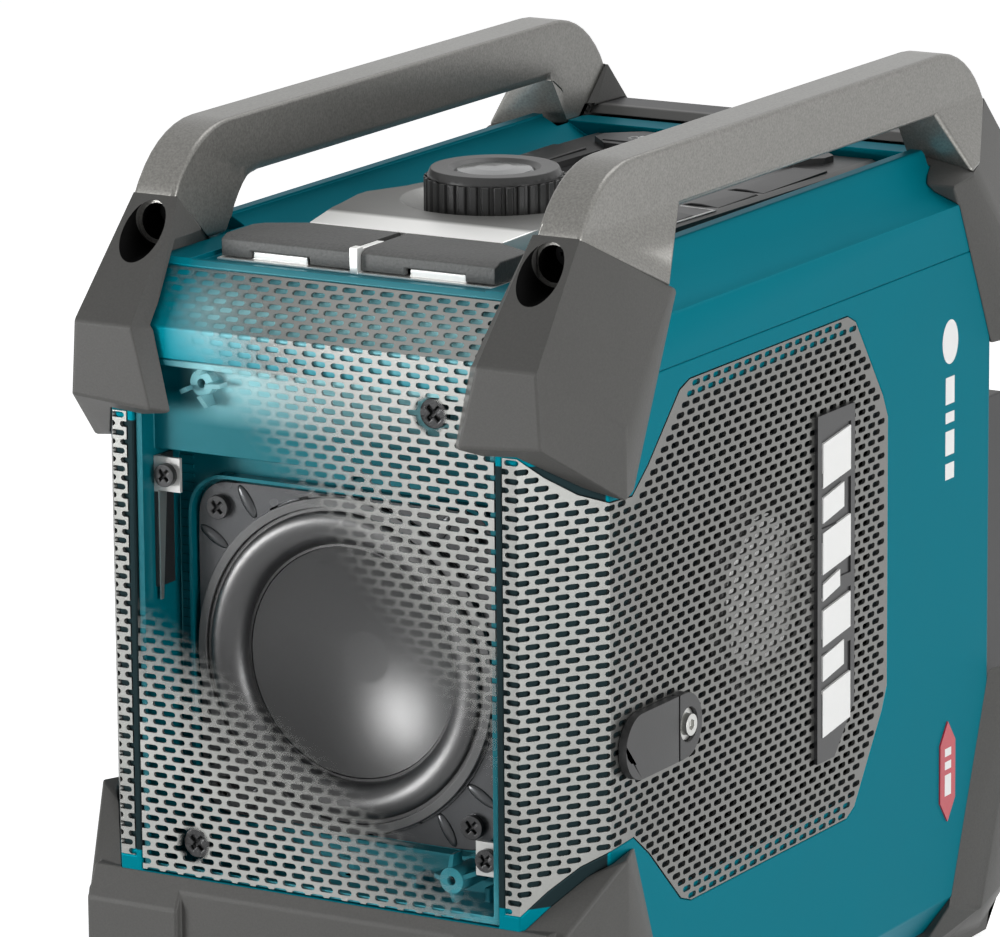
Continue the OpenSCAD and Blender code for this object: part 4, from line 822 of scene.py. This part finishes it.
def badge_bars(work):
    """Plain white bars that lean a little, without letters."""
    for side in (-1, 1):
        z = BADGE_LOW
        for height, shorter in ((17, 0), (9, 5), (13, 0), (6, 8), (15, 0), (9, 5), (16, 0)):
            rear, top = BADGE_REAR - shorter, z + height
            side_prism(work, side, [(BADGE_FRONT, z), (rear, z + BADGE_LEAN), (rear, top + BADGE_LEAN), (BADGE_FRONT, top)],
                       99.75, 100.7)
            z = top + BADGE_GAP


shaped("badge_white_bars", "white", badge_bars)


def side_marks(work):
    for side in (-1, 1):
        side_prism(work, side, ellipse(284, -42, 6.2, 8.2, 32), 98.9, 99.06)
        for low, high in ((-65, -55), (-72, -68), (-84, -75), (-93, -87)):
            side_box(work, side, 280.5, 287.5, low, high, 98.9, 99.06)


shaped("side_white_marks", "white", side_marks)


def inlay_bars(work):
    for side in (-1, 1):
        for low, high in ((-212, -204), (-202, -199), (-197, -194)):
            side_box(work, side, 280.5, 285.5, low, high, 99.5, 99.66)


shaped("inlay_white_bars", "white", inlay_bars)


INK = 0.2


def panel_top(y):
    """Height of the sloping panel above the upper knees."""
    return 18.5 + 2.4 * (302 - y) / 156


def ribbon(work, points, width, lift):
    """Printed line on the sloping panel, or lift above it."""
    for (ax, ay), (bx, by) in zip(points, points[1:]):
        along = Vector((bx - ax, by - ay)).normalized() * width / 2
        side = Vector((-along.y, along.x))
        corners = [(ax - along.x + side.x, ay - along.y + side.y), (bx + along.x + side.x, by + along.y + side.y),
                   (bx + along.x - side.x, by + along.y - side.y), (ax - along.x - side.x, ay - along.y - side.y)]
        top, bottom = ([work.verts.new(row(x, y, panel_top(y) + rise)) for x, y in corners] for rise in (lift, lift - INK))
        work.faces.new(top)
        work.faces.new(bottom[::-1])
        side_wall(work, bottom, top)


def key_outlines(work):
    for side in (-1, 1):
        ribbon(work, [(side * 44, 183), (side * 58, 181.5), (side * 57.6, 148)], 1.1, 0.06)


shaped("key_white_outline", "white", key_outlines)


def power_mark(work):
    centre, lift = (-30.5, 284.0), 2.95
    points = [(centre[0] + 3.1 * math.cos(a), centre[1] + 3.1 * math.sin(a))
              for a in (math.radians(125 + 290 * i / 20) for i in range(21))]
    ribbon(work, points, 0.9, lift)
    ribbon(work, [(centre[0], centre[1] + 0.4), (centre[0], centre[1] + 4.2)], 0.9, lift + 0.02)


shaped("power_white_mark", "white", power_mark, body="power_button")


def bracket_blades(work):
    """Bright blade on the inner side of each bracket's arm."""
    for side, top, tip in ((-1, -60, -98), (1, -166, -128)):
        side_prism(work, side, [(13.8, top), (18.5, top), (15.4, tip), (13.8, tip)], 66.5, 67.02)


shaped("bracket_blades", "steel_screw", bracket_blades)

GRIP_IN, GRIP_OUT, GRIP_DEEP, GRIP_CHAMFER = 71.34, 87.6, 44.0, (3.2, 3.8)


def grip_corners(work):
    """Rounds the inner corner where each front leg meets the bar and runs the bar's chamfer out."""
    path = ((69.5, 25.0, 0.0), (72.0, 29.6, 0.0), (74.6, 33.0, 0.0), (77.5, 35.7, 0.1), (81.0, 37.6, 0.3),
            (85.0, 38.2, 0.55), (92.0, 38.35, 1.0))
    for side in (-1, 1):
        rings = []
        for y, low, share in path:
            wide, tall = (share * size for size in GRIP_CHAMFER)
            section = ((GRIP_IN + wide, low), (GRIP_OUT, low), (GRIP_OUT, GRIP_DEEP), (GRIP_IN, GRIP_DEEP),
                       (GRIP_IN, low + tall + 0.02))
            rings.append([work.verts.new(row(side * x, y, z)) for x, z in section])
        for first, second in zip(rings, rings[1:]):
            side_wall(work, first, second)
        work.faces.new(rings[0])
        work.faces.new(rings[-1][::-1])


shaped("grip_inner_corners", "grip", grip_corners, 42.0)

# Pressed ribs beside the woofer screws
FLANGE_Y, WOOFER_Z, WOOFER_PITCH = 26.6, -115.9, 50.0


def flange_ribs(work):
    for sx in (-1, 1):
        for sz in (-1, 1):
            for (ax, az), (bx, bz) in (((8.6, 6.6), (13.2, -1.0)), ((-6.6, -8.6), (1.0, -13.2))):
                start = Vector((sx * (WOOFER_PITCH - ax), 0, sz * (WOOFER_PITCH + az) + WOOFER_Z))
                end = Vector((sx * (WOOFER_PITCH - bx), 0, sz * (WOOFER_PITCH + bz) + WOOFER_Z))
                middle = (start + end) / 2
                along = (end - start).normalized()
                turn = Matrix((along, Vector((0, 1, 0)), along.cross(Vector((0, 1, 0))))).transposed().to_4x4()
                grow = Matrix.Diagonal(((end - start).length / 2 + 2.0, 1.1, 2.1, 1.0))
                place = Matrix.Translation(row(middle.x, FLANGE_Y, middle.z)) @ Matrix.Scale(MM, 4) @ turn @ grow
                bmesh.ops.create_uvsphere(work, u_segments=24, v_segments=12, radius=1.0, matrix=place)


shaped("flange_pressed_ribs", "stamped", flange_ribs, 60.0)


# Webs round the open screw bosses of the baffle
def boss_webs(work):
    for (x, z), turns in zip(BOSSES_OPEN, ((0, 75, 205, 290), (20, 100, 180, 265))):
        for turn in turns:
            a = math.radians(turn)
            along, side = Vector((math.cos(a), 0, math.sin(a))), Vector((-math.sin(a), 0, math.cos(a)))
            corners = []
            for reach in (3.9, 8.4):
                for half in (-0.8, 0.8):
                    for depth in (11.0 if reach < 5 else 13.5, 18.4):
                        spot = along * reach + side * half
                        corners.append(row(x + spot.x, depth if z < -100 else depth - 4.5, z + spot.z))
            close_box(work, corners)


shaped("boss_webs", "teal_inner", boss_webs)


def rounded_square(half, radius, steps=8):
    points = []
    for quarter in range(4):
        turn = math.radians(90 * quarter)
        for i in range(steps + 1):
            a = turn + math.radians(90 * i / steps)
            cx, cz = [(half - radius) * k for k in ((1, 1), (-1, 1), (-1, -1), (1, -1))[quarter]]
            points.append((cx + radius * math.cos(a), cz + radius * math.sin(a)))
    return points


def pocket_rim(work):
    """Raised rim round the woofer's flange."""
    rings = []
    for half, radius, y in ((60.4, 13.4, 29.4), (60.4, 13.4, 24.2), (61.6, 14.6, 24.2), (61.6, 14.6, 29.4)):
        rings.append([work.verts.new(row(x, y, z + WOOFER_Z)) for x, z in rounded_square(half, radius)])
    for first, second in zip(rings, rings[1:] + rings[:1]):
        side_wall(work, first, second)


shaped("pocket_rim", "teal_inner", pocket_rim)


def pocket_ribs(work):
    for i in range(22):
        for side in (-1, 1):
            side_box(work, side, 28.9, 29.62, -48 - 3.2 * i, -46.8 - 3.2 * i, 62.4, 67.6)


shaped("pocket_ribs", "teal_inner", pocket_ribs)


# ---------------------------------------------------------------- studio
def set_camera():
    azimuth, elevation, roll = (math.radians(v) for v in (30.48, 13.15, -0.49))
    level = math.cos(elevation)
    forward = Vector((-math.sin(azimuth) * level, math.cos(azimuth) * level, -math.sin(elevation)))
    right = Vector((math.cos(azimuth), math.sin(azimuth), 0.0))
    up = right.cross(forward)
    tilted_right = math.cos(roll) * right + math.sin(roll) * up
    tilted_up = -math.sin(roll) * right + math.cos(roll) * up
    data = bpy.data.cameras.new("camera")
    data.lens, data.sensor_width, data.sensor_fit = 252.35, 36.0, "HORIZONTAL"
    data.clip_start, data.clip_end = 0.05, 50.0
    camera = bpy.data.objects.new("camera", data)
    bpy.context.scene.collection.objects.link(camera)
    turn = Matrix((tilted_right, tilted_up, -forward)).transposed()
    camera.matrix_world = Matrix.Translation(row(1215.8, -1935.4, 491.5)) @ turn.to_4x4()
    bpy.context.scene.camera = camera


def seen_ray(tree):
    """1 for rays of the camera and those that metal and glass mirror."""
    path = tree.nodes.new("ShaderNodeLightPath").outputs
    seen = math_node(tree, "MAXIMUM", path["Is Camera Ray"], path["Is Glossy Ray"])
    return math_node(tree, "MAXIMUM", seen, path["Is Transmission Ray"])


def floor_material():
    """Matt pale floor that glows for seen rays, so that only the shadow stays visible."""
    made = bpy.data.materials.new("floor_pale")
    made.use_nodes = True
    tree = made.node_tree
    shader = tree.nodes["Principled BSDF"]
    shader.inputs["Base Color"].default_value = (0.85, 0.85, 0.85, 1.0)
    shader.inputs["Roughness"].default_value = 0.9
    shader.inputs["Specular IOR Level"].default_value = 0.0
    glow = tree.nodes.new("ShaderNodeEmission")
    glow.inputs["Strength"].default_value = 0.8
    both = tree.nodes.new("ShaderNodeAddShader")
    mix = tree.nodes.new("ShaderNodeMixShader")
    tree.links.new(shader.outputs[0], both.inputs[0])
    tree.links.new(glow.outputs[0], both.inputs[1])
    tree.links.new(seen_ray(tree), mix.inputs[0])
    tree.links.new(shader.outputs[0], mix.inputs[1])
    tree.links.new(both.outputs[0], mix.inputs[2])
    tree.links.new(mix.outputs[0], tree.nodes["Material Output"].inputs["Surface"])
    return made


def build_floor():
    mesh = bpy.data.meshes.new("floor")
    half = 7.0
    mesh.from_pydata([(-half, -half, 0), (half, -half, 0), (half, half, 0), (-half, half, 0)], [], [(0, 1, 2, 3)])
    mesh.materials.append(floor_material())
    floor = bpy.data.objects.new("floor", mesh)
    bpy.context.scene.collection.objects.link(floor)


def soft_lamp(name, place, aim, size, power):
    data = bpy.data.lights.new(name, "AREA")
    data.shape, data.size, data.size_y, data.energy = "RECTANGLE", size[0], size[1], power
    lamp = bpy.data.objects.new(name, data)
    bpy.context.scene.collection.objects.link(lamp)
    lamp.location = Vector(place)
    lamp.rotation_mode = "QUATERNION"
    lamp.rotation_quaternion = (Vector(aim) - Vector(place)).to_track_quat("-Z", "Y")


def set_world():
    world = bpy.data.worlds.new("studio")
    bpy.context.scene.world = world
    world.use_nodes = True
    tree = world.node_tree
    background = tree.nodes["Background"]
    background.inputs["Color"].default_value = (0.75, 0.77, 0.78, 1.0)
    background.inputs["Strength"].default_value = 0.15
    white = tree.nodes.new("ShaderNodeBackground")
    white.inputs["Color"].default_value = (1.0, 1.0, 1.0, 1.0)
    mix = tree.nodes.new("ShaderNodeMixShader")
    tree.links.new(seen_ray(tree), mix.inputs[0])
    tree.links.new(background.outputs[0], mix.inputs[1])
    tree.links.new(white.outputs[0], mix.inputs[2])
    tree.links.new(mix.outputs[0], tree.nodes["World Output"].inputs["Surface"])


set_camera()
build_floor()
set_world()
soft_lamp("front_left", (-1.6, -1.6, 0.2), (0, -0.1, 0.2), (0.8, 0.6), 50)
soft_lamp("side", (2.3, -0.9, 0.4), (0, 0, 0.15), (1.5, 1.2), 56)
soft_lamp("top", (0.5, 0.9, 2.1), (0, 0, 0.3), (1.4, 1.4), 17)
bpy.context.scene.view_settings.view_transform = "Standard"
